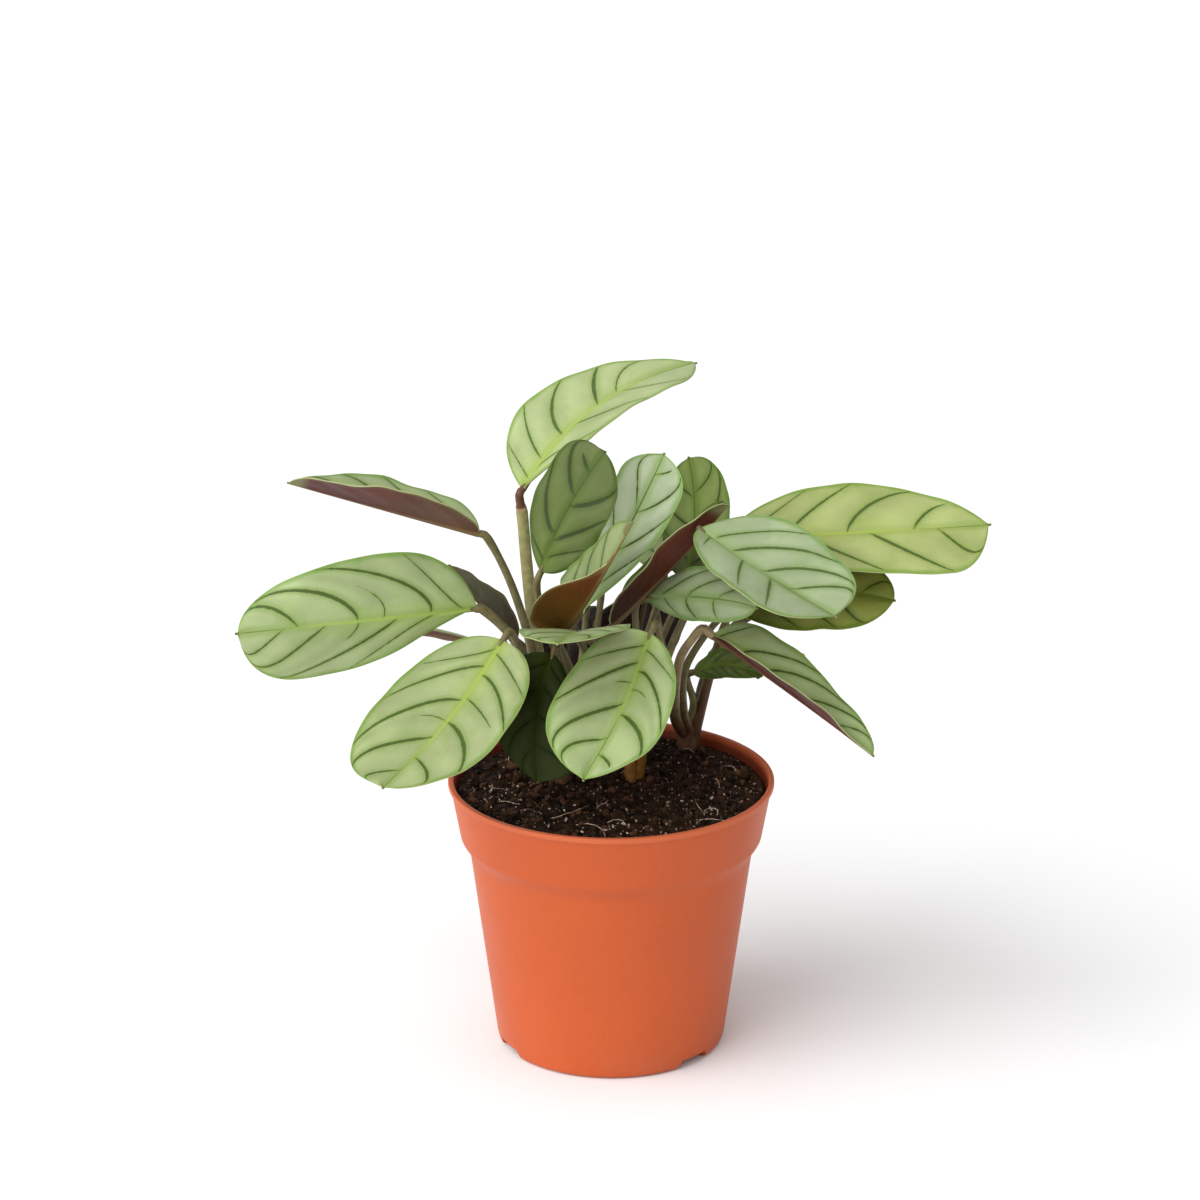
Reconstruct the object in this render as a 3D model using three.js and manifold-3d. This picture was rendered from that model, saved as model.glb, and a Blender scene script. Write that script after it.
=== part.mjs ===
// A potted prayer plant, Ctenanthe amagris, in a round plastic nursery pot.
// Millimetres, +Z up. The origin is on the pot's axis, on the surface that the pot stands on.
// The front of the plant, with its two hanging leaves, looks along -Y.
import * as THREE from "three";
import { mergeVertices } from "three/addons/utils/BufferGeometryUtils.js";
import Module from "manifold-3d";

const wasm = await Module();
wasm.setup();

// Pot
const RIM_RADIUS = 60;
const POT_HEIGHT = 102.5;
const WALL = 1.2;
const COLLAR_BOTTOM = { radius: 55.6, z: 81.2 };
const BODY_TOP = { radius: 52, z: 74 };
const BODY_BOTTOM = { radius: 42.5, z: 3 };
const FOOT_RADIUS = 40.3;
const FOOT_WIDTH = 2.2;
const FLOOR_BOTTOM = 3.8;
const FLOOR_TOP = 5;
const POT_SEGMENTS = 60;
const LIP_HEIGHT = 1.8;
const LIP_WIDTH = 2;
const EDGE = 0.6;
const NOTCH_HEIGHT = 3.6;
const NOTCH_TOP_WIDTH = 12.4;
const NOTCH_BOTTOM_WIDTH = 16;
const NOTCH_ANGLES = [-63.5, 46.5, 116.5, 226.5];
const NOTCH_DEPTH = 14;
const DRAIN_RADIUS = 3.5;
const DRAIN_RING = 26;
const DRAIN_COUNT = 6;

// Soil
const CLEARANCE = 0.3;
const SOIL_TOP_RADIUS = 56.2;
const SOIL_EDGE_Z = 98;
const SOIL_MOUND = 1.5;
const SOIL_RINGS = 8;
const SOIL_SEGMENTS = 34;
const CLOD_HEIGHT = 1.1;
const HOLE_DEPTH = 18.5;

// Stems
const STEM_FOOT_Z = 82;
const STEM_SIDES = 5;
const STEM_STEP = 9;
const STEM_FOOT_RADIUS = 2.8;
const SHOOT_SPREAD = 2.1;

// Leaves
const BLADE = 0.7;
const RIB = 0.9;
const STALK_HALF_WIDTH = 1.1;
const LEAF_STEPS = 10;
const HALF_STEPS = 3;
const POINT_LENGTH = 0.035;
const POINT_HALF_WIDTH = 0.4;
const WAVE = 0.8;

// Where each shoot stands in the soil, by its middle.
const SHOOTS = {
  left: [-19, 3],
  inner: [-8, 10],
  middle: [8, 8],
  right: [29, 40],
  centre: [6, 25],
  back: [-10, 36],
};

// One row for each leaf: the blade's base and tip, its greatest width, how far it is rolled about the
// line from base to tip, how each half (left, right, seen from the base) is folded up and curls on
// towards its edge, in degrees, how far the midrib bows up and to the right, at what share of the
// length each half is widest, how fast each half widens from the base and tapers to the tip (a small
// number for a blunt end), the petiole's radius at the soil and at the blade and its straight run
// before the blade, and its route.
const LEAVES = [
  { name: "far_left_furled", shoot: "left", colour: "silver", base: [-47.5, -5, 199], tip: [-116.5, 0, 216.5],
    width: 38, roll: 6, fold: [32, 25], curl: [6, -6], arch: 0, sweep: 0,
    widest: [0.33, 0.35], rise: [0.5, 0.6], taper: [0.6, 0.7], stalk: [2.6, 1.35, 1.2],
    via: [[-25, 3, 130], [-31, 2, 160], [-38.5, -2, 184]] },
  { name: "left_broad", shoot: "left", colour: "silver", base: [-48.5, -8, 171], tip: [-134, -32, 170],
    width: 47, roll: -84, fold: [-20, 2], curl: [-8, -20], arch: 6.5, sweep: 1.5,
    widest: [0.78, 0.37], rise: [1.5, 0.65], taper: [0.38, 0.53], stalk: [2.8, 1.6, 1.2],
    via: [[-25, -1, 125], [-34, -5, 156]] },
  { name: "rolled_young", shoot: "left", colour: "dark", base: [-35, 6, 154.5], tip: [-60.5, 6, 182.5],
    width: 15, roll: 60, fold: [40, 40], curl: [40, 40], arch: 0, sweep: 0,
    widest: [0.4, 0.4], rise: [0.5, 0.5], taper: [0.7, 0.7], stalk: [2.6, 1.15, 4],
    via: [[-23, 5, 125], [-30, 6, 146]] },
  { name: "front_left", shoot: "left", colour: "yellow", base: [-39, -22, 164], tip: [-80, -80, 130],
    width: 50, roll: -20, fold: [18, -3], curl: [-8, -12], arch: -3.5, sweep: 0.5,
    widest: [0.5, 0.54], rise: [0.42, 0.49], taper: [0.62, 0.32], stalk: [2.6, 1.15, 4],
    via: [[-23, -4, 125], [-32, -14, 155]] },
  { name: "front_middle", shoot: "middle", colour: "silver", base: [14, -22, 166.5], tip: [-10, -70, 129],
    width: 43, roll: -19, fold: [29, 13], curl: [-14, -14], arch: -2.5, sweep: 0.5,
    widest: [0.58, 0.66], rise: [0.66, 0.4], taper: [0.73, 0.63], stalk: [2.6, 1.15, 4],
    via: [[13, 4, 120], [18, -6, 150]] },
  { name: "shaded_hanging", shoot: "inner", colour: "dark", base: [-21, -17, 157], tip: [-26.5, -42, 117],
    width: 31, roll: 12, fold: [-4, 22], curl: [-6, -6], arch: 8, sweep: 0,
    widest: [0.8, 0.42], rise: [0.8, 0.5], taper: [0.3, 0.8], stalk: [2.6, 1.15, 4],
    via: [[-14, 0, 130], [-20, -8, 152]] },
  { name: "level_forward", shoot: "centre", colour: "silver", base: [-11, -14, 164], tip: [-19, -70, 180],
    width: 39, roll: 3, fold: [10, 7], curl: [-8, -8], arch: 2, sweep: -2,
    widest: [0.5, 0.5], rise: [0.5, 0.5], taper: [0.56, 0.56], stalk: [2.6, 1.15, 4],
    via: [[0, 18, 125], [-5, 4, 151]] },
  { name: "tall_arching", shoot: "left", colour: "yellow", base: [-32.5, 12, 210], tip: [31.5, 47, 247.5],
    width: 47, roll: 1, fold: [18, 12], curl: [-6, -6], arch: 8, sweep: -3.5,
    widest: [0.3, 0.77], rise: [1, 0.9], taper: [0.95, 0.75], stalk: [2.8, 2.1, 1.2],
    via: [[-24, 8, 130], [-28.5, 8, 160], [-30.8, 10, 182], [-32.3, 12, 200]] },
  { name: "upright_dark", shoot: "inner", colour: "dark", base: [-25.5, -10, 186], tip: [-2, -6, 230],
    width: 32, roll: 46, fold: [2, 0], curl: [-10, -14], arch: 2, sweep: -1.5,
    widest: [0.74, 0.59], rise: [0.8, 0.5], taper: [0.32, 0.57], stalk: [2.6, 1.15, 4],
    via: [[-14, 8, 130], [-23, 1, 160]] },
  { name: "folded_pale", shoot: "inner", colour: "yellow", base: [-18.5, -10, 162], tip: [7.5, -37.5, 214],
    width: 33, roll: 55, fold: [18, 94], curl: [-4, -2], arch: 2.5, sweep: 8,
    widest: [0.23, 0.37], rise: [0.5, 0.4], taper: [0.45, 9], stalk: [2.6, 1.15, 4],
    via: [[-11, 5, 130], [-16, 0, 148]] },
  { name: "upright_silver", shoot: "centre", colour: "blue", base: [-11.5, 15, 160.5], tip: [19.5, 27, 219],
    width: 25, roll: 62, fold: [11, 3], curl: [-12, -14], arch: -3, sweep: 1,
    widest: [0.82, 0.8], rise: [1.4, 1.4], taper: [0.68, 0.63], stalk: [2.6, 1.15, 4],
    via: [[0, 24, 125], [-9, 16, 145]] },
  { name: "upright_back", shoot: "centre", colour: "dark", base: [27.5, 28, 169.5], tip: [28.5, 40, 213.5],
    width: 30, roll: 37, fold: [9, 7], curl: [-8, -10], arch: 0.5, sweep: 3,
    widest: [0.48, 0.56], rise: [0.5, 0.5], taper: [0.48, 0.4], stalk: [2.6, 1.15, 4],
    via: [[10, 28, 125], [20, 28, 150]] },
  { name: "furled_maroon", shoot: "centre", colour: "dark", base: [0, -2, 162.5], tip: [42.5, 8, 206],
    width: 31, roll: -17, fold: [18, 32], curl: [8, 6], arch: -1, sweep: -2,
    widest: [0.42, 0.42], rise: [0.5, 0.5], taper: [0.4, 0.4], stalk: [2.6, 1.15, 4],
    via: [[5, 18, 125], [0, 8, 148]] },
  { name: "right_blue", shoot: "middle", colour: "blue", base: [32, -1.5, 199.5], tip: [78.5, -56, 185],
    width: 44, roll: 13, fold: [18, 20], curl: [-6, -8], arch: -2, sweep: -2,
    widest: [0.42, 0.766], rise: [0.8, 0.55], taper: [0.32, 0.56], stalk: [2.6, 1.15, 1],
    via: [[14, 11, 125], [22, 9.5, 150], [33, 3, 180], [34.5, -0.5, 192]] },
  { name: "right_small_blue", shoot: "middle", colour: "blue", base: [12.5, 4, 170.5], tip: [52, -26, 177.5],
    width: 22, roll: 58, fold: [-14, -18], curl: [-10, -12], arch: 2, sweep: -4,
    widest: [0.52, 0.52], rise: [0.57, 0.83], taper: [0.56, 0.56], stalk: [2.6, 1.15, 4],
    via: [[8, 8, 125], [9, 7, 155]] },
  { name: "right_long_yellow", shoot: "right", colour: "yellow", base: [43, 20, 189], tip: [137.5, 6, 198.5],
    width: 46, roll: 32, fold: [5, 9], curl: [-9, -8], arch: 1.5, sweep: 2,
    widest: [0.46, 0.86], rise: [0.6, 1], taper: [0.85, 0.57], stalk: [2.6, 1.15, 4],
    via: [[34, 41, 115], [40, 40, 140], [46, 27, 170]] },
  { name: "right_under_yellow", shoot: "right", colour: "yellow", base: [46, 15, 163], tip: [103, -2, 172],
    width: 35, roll: 40, fold: [11, 7], curl: [-7, -7], arch: 3, sweep: -4,
    widest: [0.38, 0.62], rise: [0.5, 0.7], taper: [0.54, 0.51], stalk: [2.6, 1.15, 4],
    via: [[27, 32, 116], [28, 23, 138]] },
  { name: "right_drooping", shoot: "right", colour: "silver", base: [37, 0, 158], tip: [95, -25, 120.5],
    width: 30, roll: 11, fold: [24, 49], curl: [-3, -3], arch: 1, sweep: 0.4,
    widest: [0.22, 0.38], rise: [0.5, 0.8], taper: [0.56, 1.4], stalk: [2.8, 1.5, 4],
    via: [[24, 30, 115], [25, 15, 142], [29, 5, 154]] },
  { name: "right_small_low", shoot: "right", colour: "dark", base: [31, 34, 131.5], tip: [55.5, 11, 138],
    width: 11.5, roll: 53, fold: [12, 7], curl: [-6, -6], arch: 2, sweep: -3,
    widest: [0.5, 0.44], rise: [0.5, 0.5], taper: [0.6, 0.76], stalk: [2.6, 1.15, 4],
    via: [[31, 40, 116]] },
  { name: "back_left", shoot: "back", colour: "silver", base: [-46, 42, 139], tip: [-122, 62, 129],
    width: 44, roll: 25, fold: [8, 8], curl: [-14, -14], arch: 7, sweep: 0,
    widest: [0.4, 0.6], rise: [0.5, 0.5], taper: [0.56, 0.56], stalk: [2.6, 1.15, 4],
    via: [[-18, 38, 116], [-31, 41, 133]] },
  { name: "back_hanging", shoot: "back", colour: "silver", base: [-11, 47, 152], tip: [-18, 56, 120],
    width: 31, roll: 0, fold: [8, 8], curl: [-14, -14], arch: 3, sweep: 0,
    widest: [0.58, 0.42], rise: [0.5, 0.5], taper: [0.52, 0.52], stalk: [2.6, 1.15, 4],
    via: [[-12, 38, 122], [-10, 42, 142]] },
  { name: "back_low", shoot: "right", colour: "blue", base: [14, 50, 158], tip: [10, 59, 122],
    width: 38, roll: 0, fold: [8, 8], curl: [-14, -14], arch: 3, sweep: 0,
    widest: [0.42, 0.58], rise: [0.5, 0.5], taper: [0.6, 0.6], stalk: [2.6, 1.15, 4],
    via: [[22, 46, 120], [18, 47, 144]] },
  { name: "back_upright", shoot: "back", colour: "dark", base: [-4, 48, 162], tip: [-18, 78, 190],
    width: 36, roll: 10, fold: [10, 10], curl: [-14, -14], arch: 6, sweep: 0,
    widest: [0.56, 0.44], rise: [0.5, 0.5], taper: [0.58, 0.58], stalk: [2.6, 1.15, 4],
    via: [[-8, 40, 128]] },
  { name: "back_tall", shoot: "centre", colour: "silver", base: [20, 48, 166], tip: [34, 78, 192],
    width: 38, roll: -10, fold: [10, 10], curl: [-14, -14], arch: 6, sweep: 0,
    widest: [0.42, 0.58], rise: [0.5, 0.5], taper: [0.5, 0.5], stalk: [2.6, 1.15, 4],
    via: [[8, 34, 118], [14, 40, 145]] },
  { name: "back_right", shoot: "right", colour: "yellow", base: [50, 46, 148], tip: [106, 68, 147],
    width: 40, roll: -20, fold: [8, 8], curl: [-14, -14], arch: 6, sweep: 0,
    widest: [0.6, 0.4], rise: [0.5, 0.5], taper: [0.58, 0.58], stalk: [2.6, 1.15, 4],
    via: [[34, 44, 115], [41, 46, 136]] },
  { name: "back_right_low", shoot: "right", colour: "dark", base: [40, 54, 128], tip: [72, 76, 120],
    width: 32, roll: -10, fold: [8, 8], curl: [-14, -14], arch: 5, sweep: 0,
    widest: [0.42, 0.58], rise: [0.5, 0.5], taper: [0.54, 0.54], stalk: [2.6, 1.15, 4],
    via: [[32, 47, 112]] },
];

const LEAF_COLOURS = {
  silver: 0xaabe91,
  yellow: 0xb9cd7d,
  blue: 0xa5b9a0,
  dark: 0x5f824b,
};

// Geometry helpers

// A closed mesh from rings of points, with the first and the last ring capped by fans.
function ringMesh(rings) {
  const size = rings[0].length;
  const points = rings.flat();
  const index = [];
  for (let i = 0; i + 1 < rings.length; i++) {
    for (let j = 0; j < size; j++) {
      const a = i * size + j;
      const b = i * size + ((j + 1) % size);
      index.push(a, b, b + size, a, b + size, a + size);
    }
  }
  const last = (rings.length - 1) * size;
  for (let j = 1; j + 1 < size; j++) {
    index.push(0, j + 1, j);
    index.push(last, last + j, last + j + 1);
  }
  return new THREE.BufferGeometry().setFromPoints(points).setIndex(index);
}

function solid(geometry) {
  const bare = geometry.clone();
  bare.deleteAttribute("normal");
  bare.deleteAttribute("uv");
  const merged = mergeVertices(bare, 1e-4);
  return new wasm.Manifold(
    new wasm.Mesh({
      numProp: 3,
      vertProperties: new Float32Array(merged.attributes.position.array),
      triVerts: new Uint32Array(merged.index.array),
    }),
  );
}

function geometryOf(made) {
  const mesh = made.getMesh();
  return new THREE.BufferGeometry()
    .setAttribute("position", new THREE.BufferAttribute(new Float32Array(mesh.vertProperties), 3))
    .setIndex(new THREE.BufferAttribute(new Uint32Array(mesh.triVerts), 1));
}

function named(name, geometry, colour, roughness) {
  geometry.computeVertexNormals();
  const material = new THREE.MeshStandardMaterial({ color: colour, roughness, metalness: 0 });
  const mesh = new THREE.Mesh(geometry, material);
  mesh.name = name;
  return mesh;
}

function upright(geometry) {
  return geometry.rotateX(Math.PI / 2);
}

// Pot

// From the floor's underside out to the foot, up the outside to the lip, and down the inside.
function potProfile() {
  const wall = WALL / Math.cos(Math.atan2(RIM_RADIUS - BODY_BOTTOM.radius, POT_HEIGHT));
  const profile = [
    [0, FLOOR_BOTTOM],
    [FOOT_RADIUS - FOOT_WIDTH - EDGE / 2, FLOOR_BOTTOM],
    [FOOT_RADIUS - FOOT_WIDTH, 0],
    [FOOT_RADIUS, 0],
    [BODY_BOTTOM.radius - EDGE, BODY_BOTTOM.z * 0.3],
    [BODY_BOTTOM.radius, BODY_BOTTOM.z],
    [BODY_TOP.radius, BODY_TOP.z],
    [BODY_TOP.radius + 0.8, BODY_TOP.z + 2.6],
    [COLLAR_BOTTOM.radius - 0.5, COLLAR_BOTTOM.z - 1],
    [COLLAR_BOTTOM.radius, COLLAR_BOTTOM.z],
    [RIM_RADIUS - 1, POT_HEIGHT - LIP_HEIGHT - 0.8],
    [RIM_RADIUS, POT_HEIGHT - LIP_HEIGHT],
    [RIM_RADIUS, POT_HEIGHT - EDGE],
    [RIM_RADIUS - EDGE, POT_HEIGHT],
    [RIM_RADIUS - LIP_WIDTH + EDGE, POT_HEIGHT],
    [RIM_RADIUS - LIP_WIDTH, POT_HEIGHT - EDGE],
    [COLLAR_BOTTOM.radius - wall, COLLAR_BOTTOM.z + 0.4],
    [BODY_TOP.radius + 0.4 - wall, BODY_TOP.z + 3.6],
    [BODY_TOP.radius - wall, BODY_TOP.z],
    [BODY_BOTTOM.radius - wall, FLOOR_TOP],
    [0, FLOOR_TOP],
  ];
  return profile.map(([radius, z]) => new THREE.Vector2(radius, z));
}

// A wedge that cuts one notch through the foot ring, standing out from the axis at an angle from the front.
function notch(angle) {
  const half = NOTCH_BOTTOM_WIDTH / 2;
  const top = NOTCH_TOP_WIDTH / 2;
  const below = 2;
  const flare = ((half - top) * below) / NOTCH_HEIGHT;
  const shape = new THREE.Shape([
    new THREE.Vector2(-half - flare, -below),
    new THREE.Vector2(half + flare, -below),
    new THREE.Vector2(top, NOTCH_HEIGHT),
    new THREE.Vector2(-top, NOTCH_HEIGHT),
  ]);
  const wedge = upright(new THREE.ExtrudeGeometry(shape, { depth: NOTCH_DEPTH, bevelEnabled: false }));
  wedge.translate(0, -(FOOT_RADIUS - NOTCH_DEPTH / 2), 0);
  wedge.rotateZ(THREE.MathUtils.degToRad(angle));
  return solid(wedge);
}

function drain(i) {
  const length = 4 * (FLOOR_TOP - FLOOR_BOTTOM);
  const bore = upright(new THREE.CylinderGeometry(DRAIN_RADIUS, DRAIN_RADIUS, length, 16));
  const angle = (2 * Math.PI * i) / DRAIN_COUNT;
  bore.translate(DRAIN_RING * Math.cos(angle), DRAIN_RING * Math.sin(angle), FLOOR_TOP);
  return solid(bore);
}

function makePot() {
  let pot = solid(upright(new THREE.LatheGeometry(potProfile(), POT_SEGMENTS)));
  for (const angle of NOTCH_ANGLES) pot = pot.subtract(notch(angle));
  for (let i = 0; i < DRAIN_COUNT; i++) pot = pot.subtract(drain(i));
  return named("pot", geometryOf(pot), 0xd2693c, 0.45);
}

// Soil

// The radius of the soil at a height on the pot's straight body.
function soilRadius(z) {
  const low = BODY_BOTTOM.radius - WALL;
  const high = BODY_TOP.radius - WALL;
  const share = (z - BODY_BOTTOM.z) / (BODY_TOP.z - BODY_BOTTOM.z);
  return low + (high - low) * share - 1.6 * CLEARANCE;
}

function soilHeight(x, y) {
  const share = Math.hypot(x, y) / SOIL_TOP_RADIUS;
  const mound = SOIL_MOUND * (1 - share * share);
  const clods = Math.sin(0.31 * x + 1.2) * Math.cos(0.27 * y) + 0.6 * Math.sin(0.53 * y - 0.47 * x);
  return SOIL_EDGE_Z + mound + CLOD_HEIGHT * clods * (1 - share ** 6);
}

function makeSoil(shoots) {
  const below = [
    [soilRadius(FLOOR_TOP) - CLEARANCE, FLOOR_TOP + CLEARANCE],
    [soilRadius(BODY_TOP.z), BODY_TOP.z],
    [soilRadius(BODY_TOP.z) + 0.2, BODY_TOP.z + 3.6],
    [COLLAR_BOTTOM.radius - 2 * WALL, COLLAR_BOTTOM.z + 1],
  ];
  const ring = (radius, height) =>
    Array.from({ length: SOIL_SEGMENTS }, (_, j) => {
      const angle = (2 * Math.PI * j) / SOIL_SEGMENTS;
      const x = radius * Math.cos(angle);
      const y = radius * Math.sin(angle);
      return new THREE.Vector3(x, y, height(x, y));
    });
  const rings = below.map(([radius, z]) => ring(radius, () => z));
  for (let i = SOIL_RINGS; i > 0; i--) {
    rings.push(ring((SOIL_TOP_RADIUS * i) / SOIL_RINGS, soilHeight));
  }
  let soil = solid(ringMesh(rings));
  for (const shoot of shoots) soil = soil.subtract(shoot);
  return named("soil", geometryOf(soil), 0x33231a, 0.95);
}

// The plain hole in the soil that a shoot stands in.
function stemHole([x, y]) {
  const radius = SHOOT_SPREAD + STEM_FOOT_RADIUS + 1.6 * CLEARANCE;
  const length = 2 * HOLE_DEPTH;
  const bore = upright(new THREE.CylinderGeometry(radius, radius, length, 14));
  bore.translate(x, y, STEM_FOOT_Z - CLEARANCE + length / 2);
  return solid(bore);
}

// Leaves

// The blade's axes before it is bowed: along it, out of its upper face, and to its right.
function leafAxes({ base, tip, roll }) {
  const from = new THREE.Vector3(...base);
  const to = new THREE.Vector3(...tip);
  const chord = to.clone().sub(from);
  const along = chord.clone().normalize();
  const up = new THREE.Vector3(0, 0, 1).addScaledVector(along, -along.z).normalize();
  up.applyAxisAngle(along, THREE.MathUtils.degToRad(roll));
  const right = new THREE.Vector3().crossVectors(along, up);
  return { from, chord, along, up, right };
}

// The midrib's point and axes at a share u of the length.
function midrib(leaf, u) {
  const { from, chord, up, right } = leafAxes(leaf);
  const bow = 4 * u * (1 - u);
  const slope = 4 * (1 - 2 * u);
  const point = from.clone().addScaledVector(chord, u);
  point.addScaledVector(up, leaf.arch * bow).addScaledVector(right, leaf.sweep * bow);
  const along = chord.clone();
  along.addScaledVector(up, leaf.arch * slope).addScaledVector(right, leaf.sweep * slope);
  along.normalize();
  const side = right.clone().addScaledVector(along, -right.dot(along)).normalize();
  const out = new THREE.Vector3().crossVectors(side, along);
  return { point, along, side, out };
}

// One half's width as a share of its greatest, which lies at the share of the length given by widest.
function outline(u, widest, rise, taper) {
  const m = u < widest ? 1 - u / widest : (u - widest) / (1 - widest);
  return u < widest ? (1 - m ** 2.4) ** rise : (1 - m ** 2.1) ** taper;
}

// The upper face's point and normal at u along the blade and v across it, from -1 (left) to 1 (right).
function leafPoint(leaf, u, v) {
  const { point, side, out } = midrib(leaf, u);
  const hand = v < 0 ? -1 : 1;
  const half = v < 0 ? 0 : 1;
  const across = Math.abs(v);
  const fold = THREE.MathUtils.degToRad(leaf.fold[half]);
  const curl = THREE.MathUtils.degToRad(leaf.curl[half] || 0.1);
  const tipped = u > 1 - POINT_LENGTH ? POINT_HALF_WIDTH : 0;
  const least = u < 0.5 ? STALK_HALF_WIDTH : tipped;
  const share = outline(u, leaf.widest[half], leaf.rise[half], leaf.taper[half]);
  const reach = Math.max((leaf.width / 2) * share, least);
  const flat = (Math.sin(fold + curl * across) - Math.sin(fold)) / curl;
  const lift = (Math.cos(fold) - Math.cos(fold + curl * across)) / curl;
  const ripple = Math.sin(Math.PI * (3 * u + 0.6 * hand)) * Math.min(1, 6 * u * (1 - u));
  const wave = WAVE * across ** 2 * ripple;
  const slope = v === 0 ? 0 : hand * (fold + curl * across);
  const place = point.clone().addScaledVector(side, hand * reach * flat);
  place.addScaledVector(out, reach * lift + wave);
  const normal = out.clone().multiplyScalar(Math.cos(slope)).addScaledVector(side, -Math.sin(slope));
  return { place, normal };
}

function makeLeaf(leaf, colour) {
  const rings = [];
  for (let i = 0; i <= LEAF_STEPS; i++) {
    const even = i / LEAF_STEPS;
    const u = 0.45 * even + 0.55 * (1 - Math.cos(Math.PI * even)) / 2;
    const upper = [];
    const lower = [];
    for (let j = -HALF_STEPS; j <= HALF_STEPS; j++) {
      const v = j / HALF_STEPS;
      const { place, normal } = leafPoint(leaf, u, v);
      const thick = BLADE + RIB * (1 - u) * (j === 0 ? 1 : 0);
      upper.push(place);
      lower.unshift(place.clone().addScaledVector(normal, -thick));
    }
    rings.push([...upper, ...lower]);
  }
  return named("leaf_" + leaf.name, bladeMesh(rings), colour, 0.5);
}

// A thin closed blade from rings of points that go over the upper face and back along the lower one.
// Both faces are split along the same diagonals.
function bladeMesh(rings) {
  const size = rings[0].length;
  const across = size / 2;
  const index = [];
  const upper = (i, j) => i * size + j;
  const lower = (i, j) => i * size + size - 1 - j;
  const quad = (a, b, c, d) => index.push(a, b, c, a, c, d);
  for (let i = 0; i + 1 < rings.length; i++) {
    for (let j = 0; j + 1 < across; j++) {
      quad(upper(i, j), upper(i, j + 1), upper(i + 1, j + 1), upper(i + 1, j));
      quad(lower(i, j), lower(i + 1, j), lower(i + 1, j + 1), lower(i, j + 1));
    }
    quad(upper(i, 0), upper(i + 1, 0), lower(i + 1, 0), lower(i, 0));
    quad(upper(i, across - 1), lower(i, across - 1), lower(i + 1, across - 1), upper(i + 1, across - 1));
  }
  const last = rings.length - 1;
  for (let j = 0; j + 1 < across; j++) {
    quad(upper(0, j), lower(0, j), lower(0, j + 1), upper(0, j + 1));
    quad(upper(last, j), upper(last, j + 1), lower(last, j + 1), lower(last, j));
  }
  return new THREE.BufferGeometry().setFromPoints(rings.flat()).setIndex(index);
}

// Stems

// A petiole's line: straight up out of the soil, along its route, and into the blade's midrib.
function stemCurve(leaf, foot) {
  const { point, along } = midrib(leaf, 0);
  const end = point.clone().addScaledVector(along, -CLEARANCE);
  const points = [foot, foot.clone().setZ(STEM_FOOT_Z + HOLE_DEPTH)];
  points.push(...leaf.via.map((place) => new THREE.Vector3(...place)));
  points.push(end.clone().addScaledVector(along, -leaf.stalk[2]), end);
  return new THREE.CatmullRomCurve3(points, false, "centripetal");
}

function makeStem(leaf, foot) {
  const curve = stemCurve(leaf, foot);
  const length = curve.getLength();
  const steps = Math.max(6, Math.round(length / STEM_STEP));
  const { along } = midrib(leaf, 0);
  const rings = [];
  for (let i = 0; i <= steps; i++) {
    const t = i / steps;
    const centre = curve.getPointAt(t);
    const tangent = i === 0 ? new THREE.Vector3(0, 0, 1) : i === steps ? along : curve.getTangentAt(t);
    const side = new THREE.Vector3(1, 0, 0).addScaledVector(tangent, -tangent.x).normalize();
    const other = new THREE.Vector3().crossVectors(tangent, side);
    const radius = leaf.stalk[1] + (leaf.stalk[0] - leaf.stalk[1]) * (1 - t) ** 1.5;
    const ring = [];
    for (let j = 0; j < STEM_SIDES; j++) {
      const angle = (2 * Math.PI * j) / STEM_SIDES;
      const place = centre.clone().addScaledVector(side, radius * Math.cos(angle));
      ring.push(place.addScaledVector(other, radius * Math.sin(angle)));
    }
    rings.push(ring);
  }
  return solid(ringMesh(rings));
}

// The petioles of one shoot, joined where they run together at the foot.
function makeShoot(name, [x, y]) {
  const own = LEAVES.filter((leaf) => leaf.shoot === name);
  const feet = own.map((leaf, i) => {
    const angle = (2 * Math.PI * i) / own.length;
    const foot = new THREE.Vector3(x, y, STEM_FOOT_Z);
    return foot.add(new THREE.Vector3(SHOOT_SPREAD * Math.cos(angle), SHOOT_SPREAD * Math.sin(angle), 0));
  });
  const stems = own.map((leaf, i) => makeStem(leaf, feet[i]));
  const joined = stems.reduce((all, stem) => all.add(stem));
  const bodies = joined.decompose().sort((a, b) => b.volume() - a.volume());
  return named("shoot_" + name, geometryOf(bodies[0]), 0x6b5a34, 0.6);
}

const plant = new THREE.Group();
const places = Object.values(SHOOTS);
plant.add(makePot());
plant.add(makeSoil(places.map(stemHole)));
for (const [name, place] of Object.entries(SHOOTS)) plant.add(makeShoot(name, place));
for (const leaf of LEAVES) plant.add(makeLeaf(leaf, LEAF_COLOURS[leaf.colour]));

export default plant;
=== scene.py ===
# The fine surfaces and finishes of a potted prayer plant, Ctenanthe amagris.
# The tables repeat the plant's own sizes, in millimetres; meshes are made in metres.
from math import atan2, cos, hypot, pi, radians, sin, sqrt

import bpy
import numpy as np
from mathutils import Matrix, Vector, noise


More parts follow.
